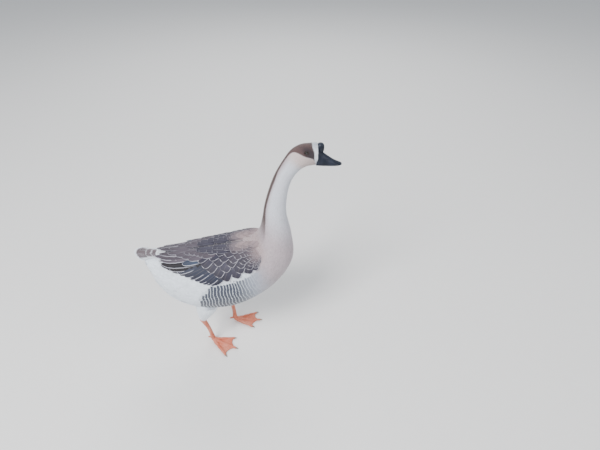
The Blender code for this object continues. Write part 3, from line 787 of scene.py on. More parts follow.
class Graph:
    """The node tree of one material."""

    def __init__(self, name: str) -> None:
        """Makes an empty material with its output and shader."""
        self.material = bpy.data.materials.new(name)
        self.material.use_nodes = True
        self.tree = self.material.node_tree
        self.tree.nodes.clear()
        output = self.tree.nodes.new("ShaderNodeOutputMaterial")
        self.shader = self.tree.nodes.new("ShaderNodeBsdfPrincipled")
        self.tree.links.new(self.shader.outputs[0], output.inputs["Surface"])

    def node(self, kind: str, settings: dict[str, Any], values: dict[Any, Any]) -> bpy.types.Node:
        """Makes one node.

        Args:
            kind: The node's type.
            settings: Properties to set first; a ramp's stops come as a list under stops.
            values: A value, link or signal for each input.

        Returns:
            The node.
        """
        node = self.tree.nodes.new(kind)
        for name, value in settings.items():
            if name == "stops":
                ramp = node.color_ramp
                while len(ramp.elements) < len(value):
                    ramp.elements.new(0.5)
                for element, (at, colour) in zip(ramp.elements, value):
                    element.position = at
                    element.color = (*colour, 1.0)
            else:
                setattr(node, name, value)
        for name, value in values.items():
            self.feed(node.inputs[name], value)
        return node

    def feed(self, socket: bpy.types.NodeSocket, value: Any) -> None:
        """Links or sets one input socket."""
        if isinstance(value, Signal):
            self.tree.links.new(value.socket, socket)
        elif isinstance(value, bpy.types.NodeSocket):
            self.tree.links.new(value, socket)
        elif isinstance(value, tuple) and len(value) == 3 and socket.type == "RGBA":
            socket.default_value = (*value, 1.0)
        else:
            socket.default_value = value

    def set(self, **values: Any) -> None:
        """Feeds sockets of the shader, named with underscores for spaces."""
        for name, value in values.items():
            label = name.replace("_", " ").title().replace("Ior", "IOR")
            self.feed(self.shader.inputs[label], value)

    def attribute(self, name: str) -> bpy.types.Node:
        """The node that reads a mesh's own values."""
        return self.node("ShaderNodeAttribute", {"attribute_name": name}, {})

    def split(self, vector: bpy.types.NodeSocket) -> tuple[Signal, Signal, Signal]:
        """The three numbers of a vector."""
        node = self.node("ShaderNodeSeparateXYZ", {}, {0: vector})
        return tuple(Signal(self, out) for out in node.outputs)

    def coords(self) -> bpy.types.NodeSocket:
        """Places on the object in metres."""
        return self.node("ShaderNodeTexCoord", {}, {}).outputs["Object"]

    def noise(self, scale: float, detail: float = 3.0) -> Signal:
        """Soft noise over the object."""
        values = {"Vector": self.coords(), "Scale": scale, "Detail": detail}
        return Signal(self, self.node("ShaderNodeTexNoise", {}, values).outputs[0])

    def cells(self, scale: float, spread: float = 1.0) -> Signal:
        """Distance to the edges of small cells."""
        values = {"Vector": self.coords(), "Scale": scale, "Randomness": spread}
        node = self.node("ShaderNodeTexVoronoi", {"feature": "DISTANCE_TO_EDGE"}, values)
        return Signal(self, node.outputs[0])

    def mix(self, share: Any, first: Any, second: Any) -> bpy.types.NodeSocket:
        """The first colour or link, turned towards the second by a share."""
        node = self.node("ShaderNodeMix", {"data_type": "RGBA"}, {0: share, 6: first, 7: second})
        return node.outputs[2]

    def bump(self, height: Signal, strength: float, distance: float) -> bpy.types.NodeSocket:
        """A normal that follows a height in metres."""
        values = {"Height": height, "Strength": strength, "Distance": distance}
        return self.node("ShaderNodeBump", {}, values).outputs[0]


@dataclass(frozen=True)
class Plumage:
    """Feathers: pale rims, a fine shaft and slanting barbs over each vane's own colour, with painted
    shade towards each root.
    """

    name: str = "plumage"
    rough: float = 0.72
    barbs: float = 1.0
    dusk: float = 0.2
    sheen: float = 0.25
    upper_rim: float = 1.0
    shine: float = 0.5

    def make(self) -> bpy.types.Material:
        """The material."""
        g = Graph(self.name)
        hue, rim = g.attribute("hue"), g.attribute("rim")
        across, along, seed = g.split(g.attribute("vane").outputs["Vector"])
        strength, end_width, side_width = g.split(g.attribute("trim").outputs["Vector"])
        side = abs(across)
        wobble = (g.noise(330.0, 2.0) - 0.5) * 0.6
        ends = end_width * (wobble + 1.0)
        sides = side_width * (wobble + 1.0)
        edge = side.step(1.0 - sides, 1.0 - sides * 0.45) * along.step(0.2, 0.55)
        tip = along.step(1.0 - ends, 1.0 - ends * 0.45)
        lower = across.step(-0.6, 0.2) * (1.0 - self.upper_rim) + self.upper_rim
        pale = edge.most(tip) * lower * strength
        slant = (along * 46.0 + side * 15.0 + seed * 20.0).sine()
        shaft = 1.0 - side.step(0.02, 0.09)
        barb = (slant * 0.5 + 0.5) * 0.10 * self.barbs
        shade = g.mix(barb, hue.outputs["Color"], (0.02, 0.017, 0.016))
        shade = g.mix(shaft * 0.16 * self.barbs, shade, (0.30, 0.26, 0.24))
        dusk = along.step(0.5, 0.95) * strength * self.dusk
        shade = g.mix(dusk, shade, (0.022, 0.018, 0.020))
        shade = g.mix(pale, shade, rim.outputs["Color"])
        # painted shade: each vane darker towards its root, where the feathers in front cover it
        root = 1.0 - along.step(0.0, 0.45)
        shade = g.mix(root * 0.12, shade, (0.03, 0.026, 0.024))
        height = slant * 0.5 + shaft * 1.5
        g.set(base_color=shade, roughness=self.rough, sheen_weight=self.sheen, sheen_roughness=0.5,
              specular_ior_level=self.shine, normal=g.bump(height, 0.25 * self.barbs, 0.0004))
        return g.material


@dataclass(frozen=True)
class UnderCoat:
    """The skin below the feathers, in the same markings, mottled like down."""

    name: str = "skin"

    def make(self) -> bpy.types.Material:
        """The material."""
        g = Graph(self.name)
        mottle = g.noise(420.0, 4.0)
        shade = g.mix(mottle * 0.16, g.attribute("hue").outputs["Color"], (0.05, 0.043, 0.04))
        g.set(base_color=shade, roughness=0.9, normal=g.bump(mottle, 0.3, 0.001))
        return g.material


@dataclass(frozen=True)
class Horn:
    """Smooth dark horn with fine lines of growth."""

    name: str = "horn"
    colour: Colour = (0.006, 0.009, 0.018)
    worn: Colour = (0.018, 0.023, 0.038)
    rough: float = 0.34
    grain: float = 220.0
    shine: float = 0.28

    def make(self) -> bpy.types.Material:
        """The material."""
        g = Graph(self.name)
        broad, fine = g.noise(55.0, 4.0), g.noise(self.grain * 6, 3.0)
        cracks = g.cells(self.grain * 3.2).step(0.0, 0.10)
        shade = g.mix(broad.step(0.35, 0.75), self.colour, self.worn)
        g.set(base_color=shade, roughness=broad * 0.22 + fine * 0.10 + (self.rough - 0.14),
              normal=g.bump(cracks * 0.6 + fine * 0.5 + broad, 0.16, 0.0006),
              specular_ior_level=self.shine)
        return g.material


@dataclass(frozen=True)
class LegSkin:
    """Orange skin of shanks, toes and webs, with small scales."""

    name: str = "leg_skin"
    colour: Colour = (0.600, 0.150, 0.080)
    pale: Colour = (0.700, 0.260, 0.170)
    crease: Colour = (0.300, 0.070, 0.035)
    scale: float = 420.0

    def make(self) -> bpy.types.Material:
        """The material."""
        g = Graph(self.name)
        broad, fine = g.noise(38.0, 4.0), g.noise(900.0, 3.0)
        scales = g.cells(self.scale, spread=0.75).step(0.0, 0.16)
        shade = g.mix(broad.step(0.35, 0.70), self.colour, self.pale)
        shade = g.mix((1.0 - scales) * 0.55, shade, self.crease)
        g.set(base_color=shade, roughness=0.42 + 0.20 * fine,
              normal=g.bump(scales + fine * 0.3, 0.45, 0.0005),
              subsurface_weight=0.08, subsurface_radius=(0.006, 0.002, 0.001))
        return g.material


@dataclass(frozen=True)
class Eyeball:
    """A dark brown eye with a black pupil under a wet, clear front."""

    name: str = "eyeball"
    iris: Colour = (0.012, 0.006, 0.004)
    pupil: Colour = (0.003, 0.003, 0.003)

    def make(self) -> bpy.types.Material:
        """The material."""
        g = Graph(self.name)
        pole, turn, _ = g.split(g.attribute("gaze").outputs["Vector"])
        ring = pole.step(0.86, 0.90)
        rays = (turn * 60.0).sine() * 0.5 + 0.5
        iris = g.mix(rays * 0.35, self.iris, (0.025, 0.011, 0.006))
        iris = g.mix(pole.step(0.62, 0.50), iris, (0.008, 0.005, 0.004))
        g.set(base_color=g.mix(ring, iris, self.pupil), roughness=0.06, specular_ior_level=0.2,
              coat_weight=0.55, coat_roughness=0.02)
        return g.material


@dataclass(frozen=True)
class Plain:
    """A matt surface with a faint grain, for the floor."""

    name: str = "floor"
    colour: Colour = (0.80, 0.79, 0.775)

    def make(self) -> bpy.types.Material:
        """The material."""
        g = Graph(self.name)
        shade = g.mix(g.noise(30.0) * 0.06, self.colour, (0.45, 0.44, 0.42))
        g.set(base_color=shade, roughness=0.85)
        return g.material


class Finishes:
    """Every finish of the goose, each made once."""

    def __init__(self) -> None:
        """Makes the materials."""
        self.coat = Plumage().make()
        self.fine = Plumage("fine_plumage", rough=0.85, barbs=0.3, dusk=0.0, sheen=0.35).make()
        self.vane = Plumage(
            "wing_plumage", rough=0.58, dusk=0.40, sheen=0.02, upper_rim=0.30, shine=0.22).make()
        self.tail = Plumage("tail_plumage", rough=0.62, sheen=0.05, shine=0.3).make()
        self.skin = UnderCoat().make()
        self.horn = Horn().make()
        self.claw = Horn(
            "claw", (0.300, 0.210, 0.160), (0.150, 0.105, 0.085), rough=0.40, grain=160.0).make()
        self.lid = Horn(
            "lid", (0.030, 0.021, 0.020), (0.060, 0.042, 0.036), rough=0.6, grain=300.0).make()
        self.leg = LegSkin().make()
        self.eye = Eyeball().make()
        self.floor = Plain().make()


def dress(mesh: bpy.types.Mesh, material: bpy.types.Material, slot: str, *nodes: str) -> None:
    """Makes a mesh a piece with its material and its body, and hides the nodes that it stands for."""
    obj = place_object(mesh.name, mesh)
    mesh.materials.clear()
    mesh.materials.append(material)
    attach(obj, "root")
    if nodes:
        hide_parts(*nodes)
    triangles = sum(len(face.vertices) - 2 for face in mesh.polygons)
    LOG.info("%s: %d triangles", obj.name, triangles)


@dataclass(frozen=True)
class Leg:
    """One leg: where its joints stand, the way its foot points, and its toes."""

    side: str
    hip: Triple
    hock: Triple
    ankle: Triple
    heading: float
    inner: float
    outer: float
    thigh_radii: Numbers = (0.037, 0.0345, 0.0268, 0.0172, 0.0100)

    def shifted(self, point: Sequence[float]) -> Triple:
        """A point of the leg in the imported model's frame."""
        return point[0] - MIDDLE_X, point[1], point[2]

    def thigh(self) -> Limb:
        """The feathered thigh as a surface."""
        hip, hock = np.array(self.shifted(self.hip)), np.array(self.shifted(self.hock))
        points = [tuple(hip + (hock - hip) * k / 4) for k in range(5)]
        return Limb(tuple(points), self.thigh_radii)


LEGS = (
    Leg("right", (-0.026, -0.056, 0.222), (-0.057, -0.047, 0.120), (-0.034, -0.040, 0.021),
        -27.0, 29.0, -29.0),
    Leg("left", (0.012, 0.056, 0.222), (0.028, 0.050, 0.118), (0.040, 0.048, 0.021),
        -4.0, -26.0, 24.0),
)


@dataclass(frozen=True)
class Field:
    """A patch of like feathers on the body, in rows that overlap like tiles; angles are in degrees."""

    start: float
    end: float
    inner: float
    outer: float
    exposure: float
    half_width: float
    length: float
    rise: float
    sweep: float
    cut: Cuts
    rim_width: float
    top_height: float = 0.0
    stagger: float = 0.5
    drift: float = 0.025
    loose: float = 0.1
    wave: float = 0.0


@dataclass
class Body:
    """The skin and the small feathers of body, neck and head."""

    finishes: Finishes
    coat_depth: Numbers = (0.0025, 0.003, 0.003, 0.0025, 0.0018, 0.0012)
    depth_places: Numbers = (0.0, 2.0, 6.0, 8.0, 10.0, 13.0)
    exposure_places: Numbers = (
        -1.0, 1.0, 4.0, 6.0, 7.0, 8.0, 9.0, 10.5, 12.0, 13.0, 14.0, 15.0)
    exposure: Numbers = (
        0.0075, 0.0080, 0.0080, 0.0070, 0.0058, 0.0042, 0.0030, 0.0024, 0.0020, 0.0016, 0.0013, 0.0012)
    mantle: Field = Field(
        start=0.75, end=5.4, inner=-20.0, outer=20.0, exposure=0.0115, half_width=0.0100,
        length=0.034, rise=0.0008, sweep=0.0, cut=Cuts.COVERT, rim_width=0.0010, top_height=0.0012)
    flank: Field = Field(
        start=3.34, end=6.05, inner=68.0, outer=138.0, exposure=0.0104, half_width=0.0074,
        length=0.034, rise=0.0010, sweep=-10.0, cut=Cuts.SQUARE, rim_width=0.0023,
        stagger=0.0, drift=0.004, loose=0.012, wave=0.016)
    fringe: Field = Field(
        start=3.40, end=5.95, inner=56.0, outer=72.0, exposure=0.0042, half_width=0.0036,
        length=0.018, rise=0.0006, sweep=-16.0, cut=Cuts.SMALL, rim_width=0.0008, top_height=0.0010)
    under_mantle: Numbers = (0.9, 5.2, -1.0, 13.0)
    under_flank: Numbers = (3.55, 5.7, 56.0, 132.0)
    skin_voxel: float = 0.003
    thigh_depth: float = 0.002
    bare_levels: tuple[float, float] = (0.152, 0.136)
    root_sink: float = 0.0004
    tip_share: float = 0.25
    tip_rim: float = 0.0012
    side_rim: float = 0.0010
    shoulder_lift: float = 0.0016
    brow_lift: float = 0.0026
    rump_end: float = -0.66
    vent: tuple[float, float] = (-0.38, 108.0)
    eye_gap: float = 0.0062
    thigh_count: int = 1800
    bare: Colour = (0.610, 0.270, 0.200)
    seed: int = 11

    def depth(self, place: Array) -> Array:
        """How deep the skin lies under the outline."""
        return np.interp(place, self.depth_places, self.coat_depth)

    def make_skin(self) -> None:
        """The one skin of torso, neck, head and thighs."""
        rear = np.linspace(FIRST_PLACE, 0.0, 8)[:-1]
        places, angles = lattice(np.concatenate([rear, np.linspace(0.0, 14.98, 190)]), circle(96))
        meshes = [sheet_mesh("flesh", FLESH.over(places, angles, -self.depth(places)))]
        for leg in LEGS:
            along, around = lattice(np.linspace(0.0, 0.97, 18), circle(32))
            meshes.append(sheet_mesh("thigh", leg.thigh().over(along, around, -self.thigh_depth)))
        mesh = merged("skin", meshes, self.skin_voxel)
        points = points_of(mesh)
        place, angle = self.nearest(points)
        hue = MARKINGS.body(place, angle)
        paint(mesh, "hue", blend(hue, self.bare, smooth(*self.bare_levels, points[:, 2])))
        self.unwrap(mesh, place, angle)
        dress(mesh, self.finishes.skin, "brown_plumage",
              "torso", "neck_lower", "neck_upper", "head", "thigh_left", "thigh_right")

    def nearest(self, points: Array) -> tuple[Array, Array]:
        """Places and angles of the flesh nearest to some points.

        Args:
            points: Rows of x, y, z.

        Returns:
            The places and the angles.
        """
        places = np.linspace(FIRST_PLACE, LAST_PLACE, 315)
        place, angle = lattice(places, np.linspace(-np.pi, np.pi, 121))
        cloud = FLESH.point(place, angle).reshape(-1, 3)
        tree = KDTree(len(cloud))
        for k, spot in enumerate(cloud):
            tree.insert(spot, k)
        tree.balance()
        found = np.array([tree.find(p)[1] for p in points])
        return place.ravel()[found], angle.ravel()[found]

    def unwrap(self, mesh: bpy.types.Mesh, place: Array, angle: Array) -> None:
        """Lays the skin out flat by place and angle, cut along the belly."""
        corner = np.zeros(len(mesh.loops), np.int32)
        mesh.loops.foreach_get("vertex_index", corner)
        u = (angle / (2 * np.pi) + 0.5)[corner].reshape(-1, 4)
        v = ((place - FIRST_PLACE) / (LAST_PLACE - FIRST_PLACE))[corner].reshape(-1, 4)
        torn = np.ptp(u, axis=1) > 0.5
        u[torn] = np.where(u[torn] < 0.5, 0.999, u[torn])
        unfold(mesh, np.stack([u, v], -1))

    def ring(self, place: float) -> tuple[Array, Array]:
        """Angles round one ring of the flesh and the length of skin up to each."""
        turn = np.linspace(-np.pi, np.pi, 257)
        ring = FLESH.point(np.full(len(turn), place), turn)
        steps = np.linalg.norm(np.diff(ring, axis=0), axis=1)
        return turn, np.concatenate([[0.0], np.cumsum(steps)])

    def rows(self, start: float, end: float, slim: float) -> tuple[Array, Array, Array]:
        """Roots in staggered rings, close as tiles.

        Args:
            start: The first place.
            end: The last place.
            slim: The spacing in a ring for each exposed length.

        Returns:
            Places, angles and the exposed length of each feather.
        """
        draw = np.random.default_rng(self.seed + int(start * 10))
        places, angles, sizes = [], [], []
        place, odd = start, 0.0
        while place < end:
            size = float(np.interp(place, self.exposure_places, self.exposure))
            turn, lengths = self.ring(place)
            count = max(int(lengths[-1] / (size * slim)), 8)
            numbers = np.arange(count) + odd + draw.uniform(-0.3, 0.3, count)
            spots = numbers / count * lengths[-1]
            places.append(place + draw.uniform(-0.4, 0.4, count) * size / 0.08)
            angles.append(np.interp(spots % lengths[-1], lengths, turn))
            sizes.append(np.full(count, size))
            along, _ = FLESH.tangents(np.array([place]), np.array([np.pi / 2]))
            place += size / float(np.linalg.norm(along))
            odd = 0.5 - odd
        return np.concatenate(places), np.concatenate(angles), np.concatenate(sizes)

    def tract(self, place: Array, angle: Array, length: Array, half_width: Array, rise: Array,
              sweep: float = 0.0, loose: float = 0.1) -> Tract:
        """Feathers that point back along the body.

        Args:
            place: Places of the roots.
            angle: Angles of the roots.
            length: Their lengths.
            half_width: Half their widths.
            rise: How far the tips stand over the coat's depth.
            sweep: Degrees by which they point down, or up where it is negative.
            loose: How much their lengths and ways differ.

        Returns:
            The tract in the body's markings.
        """
        draw = np.random.default_rng(self.seed + len(place))
        count = len(place)
        along, around = FLESH.tangents(place, angle)
        back = unit(-along)
        down = around - back * (around * back).sum(-1, keepdims=True)
        down = unit(down) * np.sign(angle)[:, None]
        lean = math.tan(math.radians(sweep)) + draw.normal(0.0, 0.8, count) * loose
        reach = length * (1.0 + loose * draw.uniform(-1.0, 1.0, count))
        way = (back + down * lean[:, None]) * reach[:, None]
        step_place, step_angle = FLESH.solve(along, around, way)
        tip_place, tip_angle = place + step_place, angle + step_angle
        hue = MARKINGS.body(tip_place, tip_angle) * draw.normal(1.0, 0.05, count)[:, None]
        degrees, depth = MARKINGS.degrees(angle), self.depth(place)
        shoulder = smooth(6.6, 5.8, place) * smooth(5.2, 5.6, place) * smooth(70.0, 62.0, degrees)
        brow = smooth(14.45, 14.85, place) * smooth(62.0, 20.0, degrees)
        lift = shoulder * self.shoulder_lift + brow * self.brow_lift
        strength = MARKINGS.edges(tip_place, tip_angle)
        trim = np.stack([strength, self.tip_rim / length, self.side_rim / half_width], -1)
        return Tract(
            place, angle, tip_place, tip_angle, half_width * draw.uniform(0.9, 1.1, count),
            -depth - self.root_sink,
            -depth * self.tip_share + rise * draw.uniform(0.6, 1.3, count) + lift,
            draw.normal(0.0, 0.05, count), np.clip(hue, 0.0, 1.0),
            np.tile(MARKINGS.pale_edge, (count, 1)), trim, draw.uniform(0.0, 1.0, count))

    def field(self, field: Field) -> Tract:
        """The feathers of a field on both sides of the body."""
        places, angles = [], []
        place, odd = field.start, 0.0
        low, high = math.radians(field.inner), math.radians(field.outer)
        draw = np.random.default_rng(self.seed + int(field.outer))
        while place < field.end:
            turn, lengths = self.ring(place)
            first, last = np.interp((low, high), turn, lengths)
            count = max(int((last - first) / (field.half_width * 1.25)), 2)
            numbers = np.arange(count) + 0.25 + odd + draw.uniform(-0.2, 0.2, count)
            spots = first + (last - first) * numbers / count
            sway = field.wave * np.sin(spots / 0.0075 + place * 2.4)
            places.append(place + sway + draw.uniform(-field.drift, field.drift, count))
            angles.append(np.interp(spots, lengths, turn))
            along, _ = FLESH.tangents(np.array([place]), np.array([(low + high) / 2]))
            place += field.exposure / float(np.linalg.norm(along))
            odd = field.stagger - odd
        place, angle = np.concatenate(places), np.concatenate(angles)
        if field.inner > 0:
            place, angle = np.concatenate([place, place]), np.concatenate([angle, -angle])
        ones = np.ones(len(place))
        tract = self.tract(place, angle, field.length * ones, field.half_width * ones,
                           field.rise * ones, field.sweep, field.loose)
        tract.trim[:, 1:] = (field.rim_width / field.length, field.rim_width / field.half_width)
        tract.tip_height += field.top_height
        return tract

    def barred(self) -> Tract:
        """The flank's great feathers, dark with white rims and darkest to the rear."""
        tract = self.field(self.flank)
        share = MARKINGS.flank_share(tract.tip_place, tract.tip_angle)
        dark = share * smooth(5.5, 4.0, tract.tip_place)
        tract.hue = blend(tract.hue, MARKINGS.bar, np.clip(dark * 1.15, 0.0, 1.0))
        tract.rim = np.tile(MARKINGS.white, (len(share), 1))
        rear = smooth(5.5, 4.2, tract.tip_place)
        tract.trim[:, 0] = np.clip(share * 1.2, 0.0, 1.0) * (0.35 + 0.40 * rear)
        tract.trim[:, 2] = 0.01
        tract.tilt *= 0.2
        top = np.interp(tract.tip_place, (2.95, 3.10, 3.35, 3.60), (104.0, 88.0, 73.0, 62.0))
        return tract.only((tract.tip_place > 2.95) & (MARKINGS.degrees(tract.tip_angle) > top))

    def fringed(self) -> Tract:
        """The soft small feathers that close over the wing's lower edge."""
        tract = self.field(self.fringe)
        tract.trim[:, 0] = 0.0
        return tract

    def make_coat(self, name: str, start: float, end: float, cut: Cuts,
                  shape: Triple, slot: str, material: bpy.types.Material) -> None:
        """One length of the coat.

        Args:
            name: The piece's name.
            start: Its first place.
            end: Its last place.
            cut: The cut of its feathers.
            shape: Spacing, length and half width for each exposed length.
            slot: Not used.
            material: Its finish.
        """
        slim, length, width = shape
        place, angle, size = self.rows(start, end, slim)
        tract = self.tract(place, angle, size * length, size * width, size * 0.05)
        coat = Coat(name)
        coat.lay(tract.only(~self.hidden(tract) & self.clear_of_eyes(tract)), WING, cut)
        if name == "coat_rear":
            coat.lay(self.field(self.mantle), FLESH, self.mantle.cut)
        elif name == "coat_front":
            coat.lay(self.barred(), FLESH, self.flank.cut)
            coat.lay(self.fringed(), WING, self.fringe.cut)
        dress(coat.build(), material, slot)

    def hidden(self, tract: Tract) -> Array:
        """Whether the wing, the mantle, the flank or the tail takes each feather's place."""
        place, tip_place = tract.place, tract.tip_place
        degrees = MARKINGS.degrees(tract.angle)
        hidden = WING.covers(tip_place, tract.tip_angle, 3.0) & WING.covers(place, tract.angle, 0.0)
        for rear, front, inner, outer in (self.under_mantle, self.under_flank):
            hidden |= (place > rear) & (place < front) & (degrees > inner) & (degrees < outer)
        hidden |= tip_place < self.rump_end
        return hidden | ((tip_place < self.vent[0]) & (degrees < self.vent[1]))

    def clear_of_eyes(self, tract: Tract) -> Array:
        """Whether each feather keeps off the eyes."""
        clear = np.ones(len(tract.place), bool)
        if tract.place.max() < 12.0:
            return clear
        spots = FLESH.point(*tract.between(np.array((0.0, 0.5, 1.0))))
        for sign in SIDES.values():
            gaps = np.linalg.norm((spots - eye_centre(sign)) * (1.0, 0.6, 1.12), axis=-1)
            clear &= (gaps > self.eye_gap).all(axis=1)
        return clear

    def make_thigh_coat(self, leg: Leg) -> None:
        """The feathers of one thigh, which point down."""
        draw = np.random.default_rng(self.seed + (3 if leg.side == "left" else 5))
        count = self.thigh_count
        place = 0.05 + 0.76 * draw.uniform(0.0, 1.0, count) ** 0.85
        angle = draw.uniform(-np.pi, np.pi, count)
        length = np.interp(place, (0.0, 0.6, 1.0), (0.20, 0.16, 0.06))
        tip = np.minimum(place + length, 0.93)
        hue = np.array(MARKINGS.white) * draw.normal(1.0, 0.04, (count, 1))
        hue = blend(hue, self.bare, smooth(0.78, 0.96, tip) * 0.8)
        tract = Tract(
            place, angle, tip, angle + draw.normal(0.0, 0.06, count),
            np.interp(place, (0.0, 1.0), (0.0055, 0.0022)), np.full(count, -0.0025),
            draw.uniform(0.0, 0.0012, count), draw.normal(0.0, 0.05, count), np.clip(hue, 0.0, 1.0),
            np.tile(MARKINGS.white, (count, 1)), np.tile((0.0, 0.1, 0.1), (count, 1)),
            draw.uniform(0.0, 1.0, count))
        coat = Coat(f"thigh_feathers_{leg.side}")
        coat.lay(tract, leg.thigh(), Cuts.SMALL)
        dress(coat.build(), self.finishes.coat, "white_plumage")

    def make(self) -> None:
        """Skin first, then the coat from tail to bill."""
        self.make_skin()
        f = self.finishes
        body, tuft, neck = Cuts.CONTOUR, Cuts.TUFT, "neck_plumage"
        broad, narrow, fine = (0.95, 2.6, 0.68), (0.62, 3.2, 0.44), (0.62, 3.4, 0.42)
        self.make_coat("coat_rear", -0.55, 3.3, body, broad, "white_plumage", f.coat)
        self.make_coat("coat_front", 3.3, 6.6, body, broad, "brown_plumage", f.coat)
        self.make_coat("coat_breast", 6.6, 8.4, body, (0.85, 2.8, 0.6), neck, f.coat)
        self.make_coat("coat_neck", 8.4, 11.2, tuft, narrow, neck, f.fine)
        self.make_coat("coat_nape", 11.2, 13.0, tuft, narrow, neck, f.fine)
        self.make_coat("coat_head", 13.0, 15.02, tuft, fine, "cap_and_cheek", f.fine)
        for leg in LEGS:
            self.make_thigh_coat(leg)


@dataclass(frozen=True)
class Tier:
    """One tier of a wing's feathers, from the lowest to the highest.

    Each tip has a place, an angle and the angle by which its feather falls from the body's line,
    both in degrees.
    """

    name: str
    count: int
    tips: tuple[Triple, ...]
    length: float
    half_width: float
    tip_height: float
    tilt: float
    cut: Cuts
    hue: Colour
    rim_strength: float
    rim_width: float = 0.0014
    shift: float = 0.0


